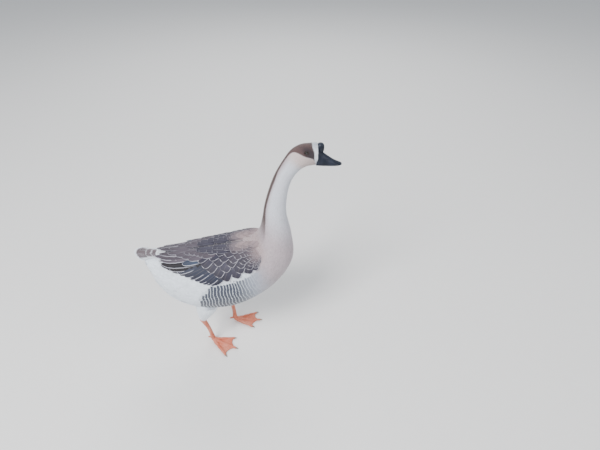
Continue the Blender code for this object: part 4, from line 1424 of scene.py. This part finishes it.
@dataclass
class Wing:
    """A folded wing: its rounded arm and tiers of vanes, each tier over the one behind it."""

    finishes: Finishes
    side: str
    black: Colour = (0.011, 0.010, 0.015)
    dark: Colour = (0.030, 0.034, 0.056)
    brown: Colour = (0.045, 0.042, 0.064)
    grey: Colour = (0.050, 0.068, 0.112)
    tertial: Colour = (0.098, 0.082, 0.104)
    light: Colour = (0.165, 0.136, 0.158)
    fawn: Colour = (0.335, 0.255, 0.262)
    pale: Colour = (0.560, 0.560, 0.630)
    soft_rim: Colour = (0.440, 0.370, 0.380)
    root_sink: float = 0.0012
    shoulder_sink: float = 0.0028
    arm_sink: float = 0.0016
    arm_inside: float = 0.006
    strides: int = 8
    seed: int = 5

    def long_vanes(self) -> tuple[Tier, ...]:
        """Primaries, secondaries and tertials, from below to above."""
        q = Cuts.QUILL
        return (
            Tier("primaries", 5, (
                (2.80, 57.5, 18.0), (2.35, 50.5, 12.0), (1.95, 46.5, 8.0), (1.50, 43.0, 4.0),
                (1.02, 40.0, 0.0)), 0.080, 0.0062, 0.0010, 0.06, q, self.black, 0.2),
            Tier("secondaries", 9, (
                (3.66, 66.5, 37.0), (3.53, 66.8, 36.0), (3.40, 66.0, 35.0), (3.28, 64.5, 34.0),
                (3.14, 62.0, 33.0), (2.99, 59.0, 31.0), (2.80, 55.3, 28.0), (2.56, 51.5, 25.0),
                (2.22, 46.5, 19.0)), 0.080, 0.0112, 0.0024, 0.13, q, self.dark, 1.0, 0.0016),
            Tier("second_black", 1, (
                (1.78, 42.5, 9.0),), 0.100, 0.0100, 0.0032, 0.12, q, self.black, 1.0, 0.0015),
            Tier("first_black", 1, (
                (1.02, 37.0, 6.0),), 0.140, 0.0100, 0.0038, 0.12, q, self.black, 1.0, 0.0015),
            Tier("grey_tertial", 1, (
                (2.46, 31.5, 6.0),), 0.075, 0.0105, 0.0046, 0.12, q, self.grey, 1.0, 0.0020),
            Tier("tertials", 4, (
                (0.92, 28.5, 6.0), (0.72, 21.0, 5.0), (0.15, 19.0, 4.0), (0.66, 9.5, 2.0)), 0.150,
                0.0112, 0.0050, 0.10, q, self.tertial, 0.9, 0.0020),
            Tier("short_tertials", 4, (
                (2.72, 25.0, 7.0), (2.42, 20.0, 6.0), (2.05, 14.0, 4.0), (1.50, 8.0, 2.0)), 0.085,
                0.0112, 0.0056, 0.09, q, self.tertial, 0.8, 0.0018),
        )

    def coverts(self) -> tuple[Tier, ...]:
        """The tiers of coverts, from the greater to the smallest, and the scapulars above them."""
        b, c, q = Cuts.BROAD, Cuts.COVERT, Cuts.QUILL
        brown = self.brown
        return (
            Tier("greater_coverts", 5, (
                (4.00, 61.5, 57.0), (3.72, 54.5, 54.0), (3.46, 46.0, 50.0), (3.26, 38.0, 44.0),
                (3.12, 29.0, 36.0)), 0.054, 0.0160, 0.0036, 0.12, b, brown, 1.0),
            Tier("second_coverts", 5, (
                (4.42, 62.0, 58.0), (4.02, 48.5, 53.0), (3.70, 37.0, 40.0), (3.50, 27.0, 28.0),
                (3.42, 15.0, 17.0)), 0.052, 0.0170, 0.0040, 0.12, b, brown, 1.0),
            Tier("third_coverts", 5, (
                (4.74, 61.5, 56.0), (4.38, 48.0, 51.0), (4.02, 36.5, 37.0), (3.80, 26.0, 26.0),
                (3.71, 14.0, 16.0)), 0.050, 0.0170, 0.0043, 0.12, b, brown, 1.0, 0.0014, 0.5),
            Tier("fourth_coverts", 5, (
                (4.98, 61.5, 54.0), (4.64, 47.5, 47.0), (4.32, 36.5, 34.0), (4.09, 25.0, 23.0),
                (4.00, 13.5, 15.0)), 0.048, 0.0165, 0.0044, 0.12, b, brown, 0.95),
            Tier("fifth_coverts", 5, (
                (5.18, 61.5, 51.0), (4.90, 48.0, 43.0), (4.60, 36.5, 32.0), (4.38, 26.0, 22.0),
                (4.28, 14.0, 14.0)), 0.044, 0.0155, 0.0044, 0.12, b, brown, 0.9, 0.0014, 0.5),
            Tier("sixth_coverts", 6, (
                (5.33, 61.5, 48.0), (5.10, 49.0, 41.0), (4.84, 37.0, 30.0), (4.64, 26.0, 21.0),
                (4.54, 15.0, 13.0)), 0.038, 0.0135, 0.0042, 0.12, b, brown, 0.85, 0.0013),
            Tier("seventh_coverts", 7, (
                (5.44, 61.0, 46.0), (5.26, 50.0, 40.0), (5.05, 37.0, 29.0), (4.78, 17.0, 12.0)), 0.032,
                0.0115, 0.0040, 0.12, b, brown, 0.8, 0.0013, 0.5),
            Tier("eighth_coverts", 8, (
                (5.54, 60.5, 44.0), (5.40, 51.0, 38.0), (5.22, 37.0, 27.0), (4.98, 17.0, 11.0)), 0.028,
                0.0100, 0.0037, 0.12, c, brown, 0.75, 0.0012),
            Tier("ninth_coverts", 9, (
                (5.63, 59.5, 42.0), (5.52, 51.0, 36.0), (5.37, 37.0, 25.0), (5.16, 18.0, 10.0)), 0.024,
                0.0088, 0.0034, 0.12, c, brown, 0.7, 0.0012, 0.5),
            Tier("tenth_coverts", 10, (
                (5.72, 58.0, 39.0), (5.63, 50.0, 33.0), (5.50, 36.5, 23.0), (5.32, 19.0, 9.0)), 0.021,
                0.0076, 0.0030, 0.12, c, brown, 0.6, 0.0011),
            Tier("eleventh_coverts", 11, (
                (5.80, 56.0, 36.0), (5.73, 48.5, 30.0), (5.62, 36.0, 21.0), (5.46, 21.0, 9.0)), 0.019,
                0.0066, 0.0026, 0.12, c, brown, 0.5, 0.0011, 0.5),
            Tier("front_coverts", 12, (
                (5.89, 53.0, 32.0), (5.83, 46.0, 27.0), (5.73, 36.0, 19.0), (5.60, 23.0, 8.0)), 0.017,
                0.0060, 0.0021, 0.12, c, brown, 0.4, 0.0011),
            Tier("scapulars", 5, (
                (3.26, 23.0, 12.0), (2.95, 17.0, 8.0), (2.50, 11.0, 4.0)), 0.070, 0.0130, 0.0060, 0.09,
                q, self.tertial, 0.7, 0.0016),
            Tier("middle_scapulars", 5, (
                (3.85, 19.5, 9.0), (3.50, 14.5, 6.0), (3.00, 8.5, 3.0)), 0.062, 0.0125, 0.0066, 0.09, b,
                brown, 0.45, 0.0013, 0.5),
            Tier("upper_scapulars", 6, (
                (4.45, 19.0, 7.0), (4.05, 14.0, 5.0), (3.60, 8.0, 2.0)), 0.052, 0.0115, 0.0064, 0.09, b,
                brown, 0.45, 0.0012),
            Tier("fore_scapulars", 7, (
                (4.95, 20.0, 7.0), (4.58, 14.0, 5.0), (4.15, 8.0, 2.0)), 0.044, 0.0100, 0.0056, 0.09, b,
                brown, 0.5, 0.0011, 0.5),
            Tier("front_scapulars", 8, (
                (5.38, 22.0, 7.0), (5.02, 15.0, 5.0), (4.60, 8.5, 2.0)), 0.036, 0.0088, 0.0048, 0.09, c,
                brown, 0.5, 0.0011),
            Tier("shoulder_scapulars", 9, (
                (5.72, 25.0, 8.0), (5.42, 17.0, 5.0), (5.02, 9.5, 2.0)), 0.030, 0.0078, 0.0038, 0.09, c,
                brown, 0.45, 0.0010, 0.5),
        )

    def tint(self, tier: Tier, place: Array, angle: Array) -> tuple[Array, Array]:
        """Colours of vanes and rims, warmer and paler towards the shoulder.

        Args:
            tier: The tier.
            place: Places of the tips.
            angle: Angles of the tips.

        Returns:
            The vanes' colours and the rims' colours.
        """
        degrees = MARKINGS.degrees(angle)
        count = len(place)
        hue, rim = np.tile(tier.hue, (count, 1)), np.tile(self.pale, (count, 1))
        if tier.hue is not self.brown:
            return hue, rim
        hue = blend(hue, self.light, smooth(3.7, 5.0, place) * smooth(50.0, 22.0, degrees) * 0.75)
        upper = smooth(4.05, 4.75, place) * smooth(26.0, 14.0, degrees)
        front = np.maximum(upper, smooth(4.9, 5.85, place) * smooth(64.0, 38.0, degrees))
        return blend(hue, self.fawn, front), blend(rim, self.soft_rim, np.maximum(front, 0.25))

    def roots(self, place: Array, angle: Array, fall: Array, length: float) -> tuple[Array, Array]:
        """Where vanes start that end at some tips, found in short strides.

        Args:
            place: Places of the tips.
            angle: Angles of the tips.
            fall: How steeply each vane falls, in radians.
            length: The length of the vanes.

        Returns:
            The places and the angles of the roots.
        """
        for _ in range(self.strides):
            along, around = WING.tangents(place, angle)
            back = unit(-along)
            down = unit(around - back * (around * back).sum(-1, keepdims=True)) * SIDES[self.side]
            way = back * np.cos(fall)[:, None] + down * np.sin(fall)[:, None]
            step_place, step_angle = WING.solve(along, around, way * length / self.strides)
            place, angle = place - step_place, angle - step_angle
        return place, angle

    def tract(self, tier: Tier, layer: int) -> Tract:
        """The feathers of a tier, varied a little as real ones are.

        Args:
            tier: The tier.
            layer: Its number from the rear.

        Returns:
            Its tract.
        """
        draw = np.random.default_rng(self.seed * 100 + layer)
        count = tier.count
        last = len(tier.tips) - 1
        at = (np.arange(count) + tier.shift * 0.9) / max(count - 1, 1) * last
        tips = spline(np.array(tier.tips if last else tier.tips * 2), np.minimum(at, last))
        LOG.debug("%s: %d feathers", tier.name, count)
        sign = SIDES[self.side]
        place = tips[:, 0] + draw.normal(0.0, 0.014, count)
        angle = np.radians(tips[:, 1] + draw.normal(0.0, 0.3, count)) * sign
        fall = np.radians(tips[:, 2] + draw.normal(0.0, 1.2, count))
        root_place, root_angle = self.roots(place, angle, fall, tier.length)
        hue, rim = self.tint(tier, place, angle)
        jitter = draw.normal(1.0, 0.08, count)[:, None]
        trim = (tier.rim_strength, tier.rim_width / tier.length, tier.rim_width / tier.half_width)
        root_height = -self.root_sink - self.shoulder_sink * smooth(4.9, 5.4, root_place)
        return Tract(
            root_place, root_angle, place, angle, tier.half_width * draw.uniform(0.94, 1.06, count),
            root_height, tier.tip_height + draw.uniform(0.0, 0.0003, count), np.full(count, tier.tilt),
            np.clip(hue * jitter, 0.0, 1.0), rim, np.tile(trim, (count, 1)),
            draw.uniform(0.0, 1.0, count), -sign)

    def make(self) -> None:
        """The vanes, from the rear and below to the front and above, and the arm."""
        coat = Coat(f"wing_feathers_{self.side}")
        for layer, tier in enumerate(self.long_vanes() + self.coverts()):
            coat.lay(self.tract(tier, layer), WING, tier.cut)
        dress(coat.build(), self.finishes.vane, "wing_plumage", f"wing_{self.side}")
        self.make_arm()

    def make_arm(self) -> None:
        """The rounded arm that the vanes grow from."""
        place, part = lattice(np.linspace(2.3, 5.75, 60), np.linspace(-0.06, 1.06, 28))
        low, high = WING.edges(place)
        angle = np.radians(high + (low - high) * part) * SIDES[self.side]
        outer = WING.over(place, angle, np.where((part < 0) | (part > 1), -0.004, -self.arm_sink))
        inner = FLESH.over(place, angle, -self.arm_inside)
        mesh = sheet_mesh(f"wing_arm_{self.side}", np.concatenate([outer, inner[:, ::-1]], axis=1))
        pale = smooth(4.7, 5.6, np.concatenate([place, place], axis=1).ravel())
        paint(mesh, "hue", blend(np.tile(self.brown, (len(pale), 1)), self.fawn, pale))
        dress(mesh, self.finishes.skin, "wing_plumage")


@dataclass
class Tail:
    """The fan of the tail with the coverts over and under its roots.

    A rank of coverts holds the place of its roots and of its middle tip, its height and half width.
    """

    finishes: Finishes
    brown: Colour = (0.130, 0.100, 0.112)
    # white carries a painted cool blue cast of daylight over the tail's own white
    white: Colour = (0.780, 0.810, 0.860)
    count: int = 16
    upper_count: int = 13
    lower_count: int = 12
    upper_coverts: tuple[Numbers, ...] = (
        (-0.30, 0.46, 0.0034, 0.029), (-0.60, 0.20, 0.0044, 0.033), (-0.90, -0.04, 0.0050, 0.036))
    lower_coverts: tuple[Numbers, ...] = (
        (-0.55, 0.58, -0.0058, 0.028), (-0.85, 0.30, -0.0085, 0.032))
    half_spread: float = 0.037
    rounding: float = 0.40
    seed: int = 23

    def make(self) -> None:
        """The fan and its coverts."""
        surface = TailSurface()
        draw = np.random.default_rng(self.seed)
        coat = Coat("tail_feathers")
        coat.lay(self.fan(draw), surface, Cuts.BROAD)
        for row in range(len(self.upper_coverts)):
            coat.lay(self.over_fan(row, draw), surface, Cuts.BROAD)
        for row in range(len(self.lower_coverts)):
            coat.lay(self.under_fan(row, draw), surface, Cuts.COVERT)
        dress(coat.build(), self.finishes.tail, "tail_plumage", "tail")

    def fan(self, draw: np.random.Generator) -> Tract:
        """The long feathers, brown with white edges and white at the sides."""
        part = np.linspace(-1.0, 1.0, self.count)
        wide = part * self.half_spread
        tract = self.rank(part, wide * 0.55, wide, 0.10, 0.97 - self.rounding * part ** 2, 0.0066,
                          0.0016 - 0.0034 * np.abs(part), draw)
        outer = smooth(0.62, 0.86, np.abs(part)) * 0.85
        tract.hue[:] = np.array(self.brown) * draw.normal(1.0, 0.10, (self.count, 1))
        tract.hue[:] = blend(tract.hue, self.white, outer)
        tract.rim[:] = self.white
        tract.trim[:] = (1.0, 0.17, 0.06)
        return tract

    def over_fan(self, row: int, draw: np.random.Generator) -> Tract:
        """One rank of the coverts over the fan, the last of them white."""
        start, reach, height, wide = self.upper_coverts[row]
        part = np.linspace(-1.0, 1.0, self.upper_count)
        tract = self.rank(part, part * wide * 0.9, part * wide, start, reach - 0.22 * part ** 2,
                          0.0072, height - 0.0024 * np.abs(part), draw)
        base = np.array(self.white if row > 1 else self.brown)
        tract.hue[:] = base * draw.normal(1.0, 0.10, (self.upper_count, 1))
        tract.hue[:] = blend(tract.hue, self.white, smooth(0.5, 0.8, np.abs(part)) * 0.85)
        tract.rim[:] = self.white
        tract.trim[:] = (0.30 + 0.15 * row, 0.12, 0.10)
        return tract

    def under_fan(self, row: int, draw: np.random.Generator) -> Tract:
        """One rank of the white coverts under the fan."""
        start, reach, height, wide = self.lower_coverts[row]
        part = np.linspace(-1.0, 1.0, self.lower_count)
        tract = self.rank(part, part * wide * 0.9, part * wide, start, reach - 0.25 * part ** 2,
                          0.0085, height - 0.0034 * np.abs(part), draw)
        tract.hue[:] = np.array(self.white) * draw.normal(1.0, 0.03, (self.lower_count, 1))
        tract.rim[:] = self.white
        tract.trim[:] = (0.3, 0.05, 0.2)
        tract.root_height -= 0.004
        return tract

    @staticmethod
    def rank(part: Array, root_wide: Array, tip_wide: Array, root: float, tip: Array,
             half_width: float, height: Array, draw: np.random.Generator) -> Tract:
        """One rank of feathers across the tail.

        Args:
            part: Each feather's share from side to side.
            root_wide: How far to the side each root lies.
            tip_wide: How far to the side each tip lies.
            root: Place of the roots.
            tip: Places of the tips.
            half_width: Half the width of a feather.
            height: Heights of the tips.
            draw: The source of small differences.

        Returns:
            The tract, still without colours.
        """
        count = len(part)
        ones = np.ones(count)
        return Tract(
            root * ones, root_wide, tip + draw.normal(0.0, 0.012, count), tip_wide,
            half_width * draw.uniform(0.95, 1.05, count), height - 0.0010,
            height + draw.uniform(0.0, 0.0003, count), 0.12 * ones, np.ones((count, 3)),
            np.ones((count, 3)), np.ones((count, 3)), draw.uniform(0.0, 1.0, count))


@dataclass
class Head:
    """Bill, knob, eyes and lids."""

    finishes: Finishes
    bill_root: float = 0.3235
    sections: tuple[Numbers, ...] = (
        (-0.0040, 0.7380, 0.6922, 0.6850, 0.0196),
        (0.0000, 0.7370, 0.6920, 0.6845, 0.0195),
        (0.0140, 0.7215, 0.6895, 0.6820, 0.0172),
        (0.0320, 0.7060, 0.6868, 0.6805, 0.0153),
        (0.0480, 0.6940, 0.6848, 0.6795, 0.0137),
        (0.0600, 0.6870, 0.6832, 0.6797, 0.0108),
        (0.0660, 0.6846, 0.6826, 0.6806, 0.0070),
        (0.0685, 0.6832, 0.6821, 0.6812, 0.0026),
    )
    nostril: Triple = (0.0310, 0.0135, 0.7000)
    knob_centre: Triple = (0.3318, 0.0, 0.7362)
    knob_radii: Triple = (0.0104, 0.0108, 0.0132)
    knob_foot: float = 0.0200
    eye_radius: float = 0.0054
    eye_home: tuple[float, float] = (14.0, 62.0)
    lid_thickness: float = 0.0008
    lower_width: float = 0.92
    mouth_overlap: float = 0.0007
    lower_drop: float = 0.0003
    nostril_depth: float = 0.0030
    nail_rise: float = 0.0007

    def half(self, upper: bool) -> None:
        """The upper or lower half of the bill, arched outward and flat along the mouth."""
        rows = spline(np.array(self.sections), np.linspace(0.0, len(self.sections) - 1, 64))
        x, top, mouth, bottom, width = rows.T
        turn = np.linspace(0.0, np.pi, 41)
        outer = top if upper else bottom
        wide = width * (1.0 if upper else self.lower_width)
        power = 0.85 if upper else 0.7
        y = wide[:, None] * np.cos(turn)
        z = mouth[:, None] + (outer - mouth)[:, None] * np.sin(turn) ** power
        arch = np.stack([np.broadcast_to(x[:, None], y.shape), y, z], -1)
        if upper:
            arch = self.carve(arch)
        y = -wide[:, None] * np.linspace(0.97, -0.97, 9)
        overlap = self.mouth_overlap if upper else -self.mouth_overlap
        z = np.broadcast_to((mouth + overlap)[:, None], y.shape)
        sole = np.stack([np.broadcast_to(x[:, None], y.shape), y, z], -1)
        grid = np.concatenate([arch, sole], axis=1)
        grid[..., 0] += self.bill_root - MIDDLE_X
        grid[..., 2] -= 0.0 if upper else self.lower_drop
        name = "bill_upper" if upper else "bill_lower"
        mesh = sheet_mesh(f"{name}_horn", grid)
        mesh.set_sharp_from_angle(angle=math.radians(60))
        dress(mesh, self.finishes.horn, "black_horn", name)

    def carve(self, arch: Array) -> Array:
        """Sinks the nostrils, draws the line above the mouth and raises the nail."""
        x, y, z = arch[..., 0], arch[..., 1], arch[..., 2]
        nx, ny, nz = self.nostril
        across, up = x - nx, z - nz
        deep = np.exp(-((across + 0.35 * up) / 0.0048) ** 4 - ((up + 0.30 * across) / 0.0017) ** 2)
        arch[..., 1] -= np.sign(y) * deep * self.nostril_depth * (np.abs(y) > 0.006)
        nail = smooth(0.0555, 0.0575, x) * smooth(0.0085, 0.0065, np.abs(y))
        arch[..., 2] += nail * self.nail_rise
        return arch

    def knob(self) -> None:
        """The rounded knob, flared where it joins the bill and the brow."""
        polar, turn = lattice(np.linspace(0.02, np.pi - 0.02, 40), circle(48))
        height = np.cos(polar)
        foot = (1.0 - np.abs(height) ** 2.6) ** 0.6
        wide = np.where(height > 0, np.sqrt(1.0 - np.abs(height) ** 2.5), foot)
        level = height * np.where(height > 0, self.knob_radii[2], self.knob_foot)
        deep = self.knob_radii[0] * (1.0 + 0.10 * smooth(0.0, -1.0, np.cos(turn)))
        across = wide * np.sin(turn) * self.knob_radii[1]
        grid = np.stack([wide * np.cos(turn) * deep, across, level], -1)
        grid = grid + np.array(self.knob_centre) - (MIDDLE_X, 0.0, 0.0)
        dress(sheet_mesh("knob_horn", grid), self.finishes.horn, "black_horn", "knob")

    def eye_axes(self, sign: float) -> tuple[Array, Array, Array]:
        """Unit vectors that point out of an eye, up and to the front."""
        place, degrees = self.eye_home
        out = FLESH.normal(np.array([place]), np.array([math.radians(degrees) * sign]))[0]
        up = unit(np.array((0.0, 0.0, 1.0)) - out * out[2])
        return out, up, np.cross(up, out)

    def eye(self, side: str) -> None:
        """One eyeball."""
        out, up, front = self.eye_axes(SIDES[side])
        polar, turn = lattice(np.linspace(0.01, np.pi - 0.01, 26), circle(40))
        way = (out * np.cos(polar)[..., None] + up * (np.sin(polar) * np.cos(turn))[..., None]
               + front * (np.sin(polar) * np.sin(turn))[..., None])
        bulge = 1.0 + 0.05 * smooth(0.80, 1.0, np.cos(polar))
        grid = eye_centre(SIDES[side]) + way * self.eye_radius * bulge[..., None]
        mesh = sheet_mesh(f"eyeball_{side}", grid)
        gaze = np.stack([np.cos(polar), turn, 0 * turn], -1)
        store(mesh, "gaze", "FLOAT_VECTOR", "vector", gaze)
        dress(mesh, self.finishes.eye, "dark_eye", f"eye_{side}")

    def lids(self, side: str) -> None:
        """The dark ring of lids round one eye."""
        out, up, front = self.eye_axes(SIDES[side])
        around, tube = lattice(circle(48), circle(14))
        almond = 1.0 + 0.14 * np.cos(around * 2 + np.pi)
        ring = self.eye_radius * almond + self.lid_thickness * np.cos(tube)
        lift = 0.0024 + 0.0007 * np.sin(tube) - 0.0008 * np.abs(np.sin(around))
        lid = (eye_centre(SIDES[side]) + up * (ring * np.cos(around) * 0.88)[..., None]
               + front * (ring * np.sin(around))[..., None] + out * lift[..., None])
        mesh = sheet_mesh(f"lids_{side}", np.concatenate([lid, lid[:1]], axis=0), caps=False)
        dress(mesh, self.finishes.lid, "cap_and_cheek")

    def make(self) -> None:
        """All the hard parts of the head."""
        self.half(True)
        self.half(False)
        self.knob()
        for side in SIDES:
            self.eye(side)
            self.lids(side)


@dataclass
class Foot:
    """The bare shank, toes, web and claws of one leg."""

    finishes: Finishes
    leg: Leg
    shank_radii: Numbers = (0.0094, 0.0080, 0.0068, 0.0064, 0.0068, 0.0082)
    toe_lengths: Triple = (0.074, 0.091, 0.083)
    toe_radii: Numbers = (0.0066, 0.0058, 0.0050, 0.0044, 0.0040, 0.0034)
    web_reach: float = 0.95
    web_half: float = 0.0012
    web_level: float = 0.0034
    web_thinning: float = 0.55
    web_folds: int = 9
    bow: float = 0.004
    hind_length: float = 0.019
    claw_length: float = 0.0110
    claw_radius: float = 0.0030
    joint_half: float = 0.009
    joint_radius: float = 0.0080
    skin_voxel: float = 0.00085

    def toe(self, angle: float, length: float) -> Array:
        """The line of a toe from the ankle to its claw."""
        ankle = np.array(self.leg.shifted(self.leg.ankle))
        way = math.radians(self.leg.heading + angle)
        forward = np.array((math.cos(way), math.sin(way), 0.0))
        part = np.linspace(0.0, 1.0, 24)
        radius = np.interp(part, np.linspace(0, 1, len(self.toe_radii)), self.toe_radii)
        drop = np.interp(part, (0.0, 0.22, 1.0), (ankle[2] - 0.006, 0.0072, 0.0040))
        drop = np.maximum(drop, radius)
        points = ankle + forward * (length * part)[:, None]
        points[:, 2] = drop
        return np.hstack([points, radius[:, None]])

    @staticmethod
    def tube(line: Array, around: int = 20, squash: float = 1.0) -> Array:
        """A grid of points round a line that holds its radii last."""
        way = unit(np.gradient(line[:, :3], axis=0))
        side = np.cross(way, (0.0, 0.0, 1.0))
        weak = np.linalg.norm(side, axis=1) < 0.2
        side[weak] = np.cross(way[weak], (1.0, 0.0, 0.0))
        side = unit(side)
        up = np.cross(side, way)
        turn = circle(around)[:, None]
        ring = side[:, None, :] * np.cos(turn) + up[:, None, :] * np.sin(turn) * squash
        return line[:, None, :3] + ring * line[:, None, 3:]

    def toes(self) -> list[Array]:
        """The lines of the three front toes, knuckles swollen, from the inner to the outer."""
        lines = []
        angles = (self.leg.inner, 0.0, self.leg.outer)
        for angle, length, bones in zip(angles, self.toe_lengths, (2, 3, 4)):
            line = self.toe(angle, length)
            part = np.linspace(0.0, 1.0, len(line))
            line[:, 3] *= 1.0 + 0.10 * np.cos(2 * np.pi * part * bones)
            line[:, 2] = np.maximum(line[:, 2], line[:, 3])
            lines.append(line)
        return lines

    def web(self, first: Array, second: Array) -> bpy.types.Mesh:
        """The web between two toes, its front edge drawn back between them."""
        part = np.linspace(0.0, self.web_reach, 26)
        rows = []
        for share in np.linspace(0.0, 1.0, 17):
            sag = 4 * share * (1 - share)
            reach = part * (1.0 - 0.09 * sag) * (len(first) - 1)
            near, far = spline(first, reach)[:, :3], spline(second, reach)[:, :3]
            line = near + (far - near) * share
            fold = 0.0006 * np.sin(share * self.web_folds * np.pi) * smooth(0.15, 0.6, part) * sag
            level = self.web_level + (line[:, 2] - self.web_level) * self.web_thinning
            line[:, 2] = level + fold - 0.0010 * sag
            rows.append(line)
        sheet = np.stack(rows, 1)
        top, base = sheet + (0, 0, self.web_half), sheet - (0, 0, self.web_half)
        return sheet_mesh("web", np.concatenate([top, base[:, ::-1]], axis=1))

    def shank(self, hock: Array, ankle: Array) -> bpy.types.Mesh:
        """The bare shank, bowed slightly forward."""
        part = np.linspace(0.0, 1.0, 40)
        lift = np.array((0.0, 0.0, 0.004))
        line = hock + lift + (ankle - hock - lift) * part[:, None]
        line[:, 0] += self.bow * np.sin(np.pi * part)
        radii = np.interp(part, np.linspace(0, 1, len(self.shank_radii)), self.shank_radii)
        return sheet_mesh("shank", self.tube(np.hstack([line, radii[:, None]]), 28))

    def joint(self, ankle: Array) -> bpy.types.Mesh:
        """The swelling at the ankle where shank and toes meet."""
        ball = np.linspace(0.0, 1.0, 9)[:, None]
        line = ankle + np.array((0.0, 0.0, self.joint_half)) * (2 * ball - 1)
        swell = self.joint_radius * np.sin(np.pi * (0.12 + 0.76 * ball))
        return sheet_mesh("joint", self.tube(np.hstack([line, swell])))

    def make(self) -> None:
        """The shank and the foot, grown into one skin, and its claws."""
        leg = self.leg
        hock, ankle = np.array(leg.shifted(leg.hock)), np.array(leg.shifted(leg.ankle))
        lines = self.toes()
        meshes = [sheet_mesh("toe", self.tube(toe)) for toe in lines]
        meshes += [self.web(lines[0], lines[1]), self.web(lines[1], lines[2])]
        meshes += [self.hind_toe(ankle), self.shank(hock, ankle), self.joint(ankle)]
        mesh = merged(f"leg_skin_{leg.side}", meshes, self.skin_voxel, 3)
        points = points_of(mesh)
        points[:, 2] = np.maximum(points[:, 2], 0.0)
        mesh.vertices.foreach_set("co", points.ravel())
        dress(mesh, self.finishes.leg, "orange_leg", f"shank_{leg.side}", f"foot_{leg.side}")
        for name, toe in zip(("inner", "middle", "outer"), lines):
            self.claw(name, toe)

    def hind_toe(self, ankle: Array) -> bpy.types.Mesh:
        """The small raised toe behind the shank."""
        way = math.radians(self.leg.heading + 180.0)
        forward = np.array((math.cos(way), math.sin(way), -0.35))
        part = np.linspace(0.0, 1.0, 10)[:, None]
        line = ankle + (0, 0, -0.002) + forward * self.hind_length * part
        return sheet_mesh("hind", self.tube(np.hstack([line, 0.0042 - 0.0018 * part]), 14))

    def claw(self, name: str, toe: Array) -> None:
        """One short, blunt claw at the end of a toe."""
        end = toe[-1]
        way = unit(toe[-1, :3] - toe[-4, :3])
        part = np.linspace(0.0, 1.0, 12)[:, None]
        line = end[:3] - way * 0.002 + way * self.claw_length * part
        line[:, 2] = end[2] + 0.0006 - 0.0020 * part[:, 0] ** 2
        radii = self.claw_radius * (1.0 - part ** 2 * 0.85)
        line[:, 2] = np.maximum(line[:, 2], radii[:, 0] * 0.8)
        which = f"{name}_{self.leg.side}"
        mesh = sheet_mesh(f"claw_horn_{which}", self.tube(np.hstack([line, radii]), 16, 0.8))
        dress(mesh, self.finishes.claw, "pale_claw", f"claw_{which}")


@dataclass
class Studio:
    """The pale floor, the soft light and the camera at the photograph's angle."""

    finishes: Finishes
    lens: float = 28.8
    sensor: float = 36.0
    camera_place: Triple = (0.1184, -1.1476, 1.37)
    camera_turn: Triple = (52.0, 0.0, -4.0)
    lights: tuple[tuple[Triple, float, float], ...] = (
        ((-1.5, -2.0, 3.2), 1.5, 205.0),
        ((2.6, -1.6, 2.4), 2.4, 45.0),
        ((0.4, 2.8, 2.8), 2.2, 70.0),
    )
    aim: Triple = (0.0, 0.0, 0.35)
    sky: Colour = (0.86, 0.92, 1.0)
    sky_strength: float = 0.62
    floor_half: float = 6.0
    floor_gap: float = 0.0002

    def make(self) -> None:
        """Sets the stage."""
        self.lay_floor()
        for k, (place, size, power) in enumerate(self.lights):
            self.hang_light(f"soft_light_{k}", place, size, power)
        self.set_sky()
        self.set_camera()

    def lay_floor(self) -> None:
        """The pale floor, a hair below the soles."""
        mesh = bpy.data.meshes.new("floor")
        half = self.floor_half
        corners = [(-half, -half, 0), (half, -half, 0), (half, half, 0), (-half, half, 0)]
        mesh.from_pydata(corners, [], [(0, 1, 2, 3)])
        floor = place_object("floor", mesh)
        floor.location.z = -self.floor_gap
        mesh.materials.append(self.finishes.floor)

    def hang_light(self, name: str, place: Triple, size: float, power: float) -> None:
        """One square light that looks at the goose."""
        light = bpy.data.lights.new(name, "AREA")
        light.size = size
        light.energy = power
        obj = place_object(name, light)
        obj.location = place
        way = Vector(self.aim) - Vector(place)
        obj.rotation_euler = way.to_track_quat("-Z", "Y").to_euler()

    def set_sky(self) -> None:
        """The even light of a pale sky."""
        world = bpy.data.worlds.new("soft_sky")
        world.use_nodes = True
        back = world.node_tree.nodes["Background"]
        back.inputs["Color"].default_value = (*self.sky, 1.0)
        back.inputs["Strength"].default_value = self.sky_strength
        bpy.context.scene.world = world

    def set_camera(self) -> None:
        """The camera at the photograph's angle."""
        camera = bpy.data.cameras.new("camera")
        camera.lens = self.lens
        camera.sensor_width = self.sensor
        obj = place_object("camera", camera)
        obj.location = self.camera_place
        obj.rotation_euler = [math.radians(turn) for turn in self.camera_turn]
        bpy.context.scene.camera = obj


def main() -> None:
    """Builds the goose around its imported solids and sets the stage."""
    logging.basicConfig(level=logging.INFO, format="%(name)s: %(message)s", stream=sys.stdout)
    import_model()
    finishes = Finishes()
    Studio(finishes).make()
    Body(finishes).make()
    for side in SIDES:
        Wing(finishes, side).make()
    Tail(finishes).make()
    Head(finishes).make()
    for leg in LEGS:
        Foot(finishes, leg).make()


if __name__ == "__main__":
    main()
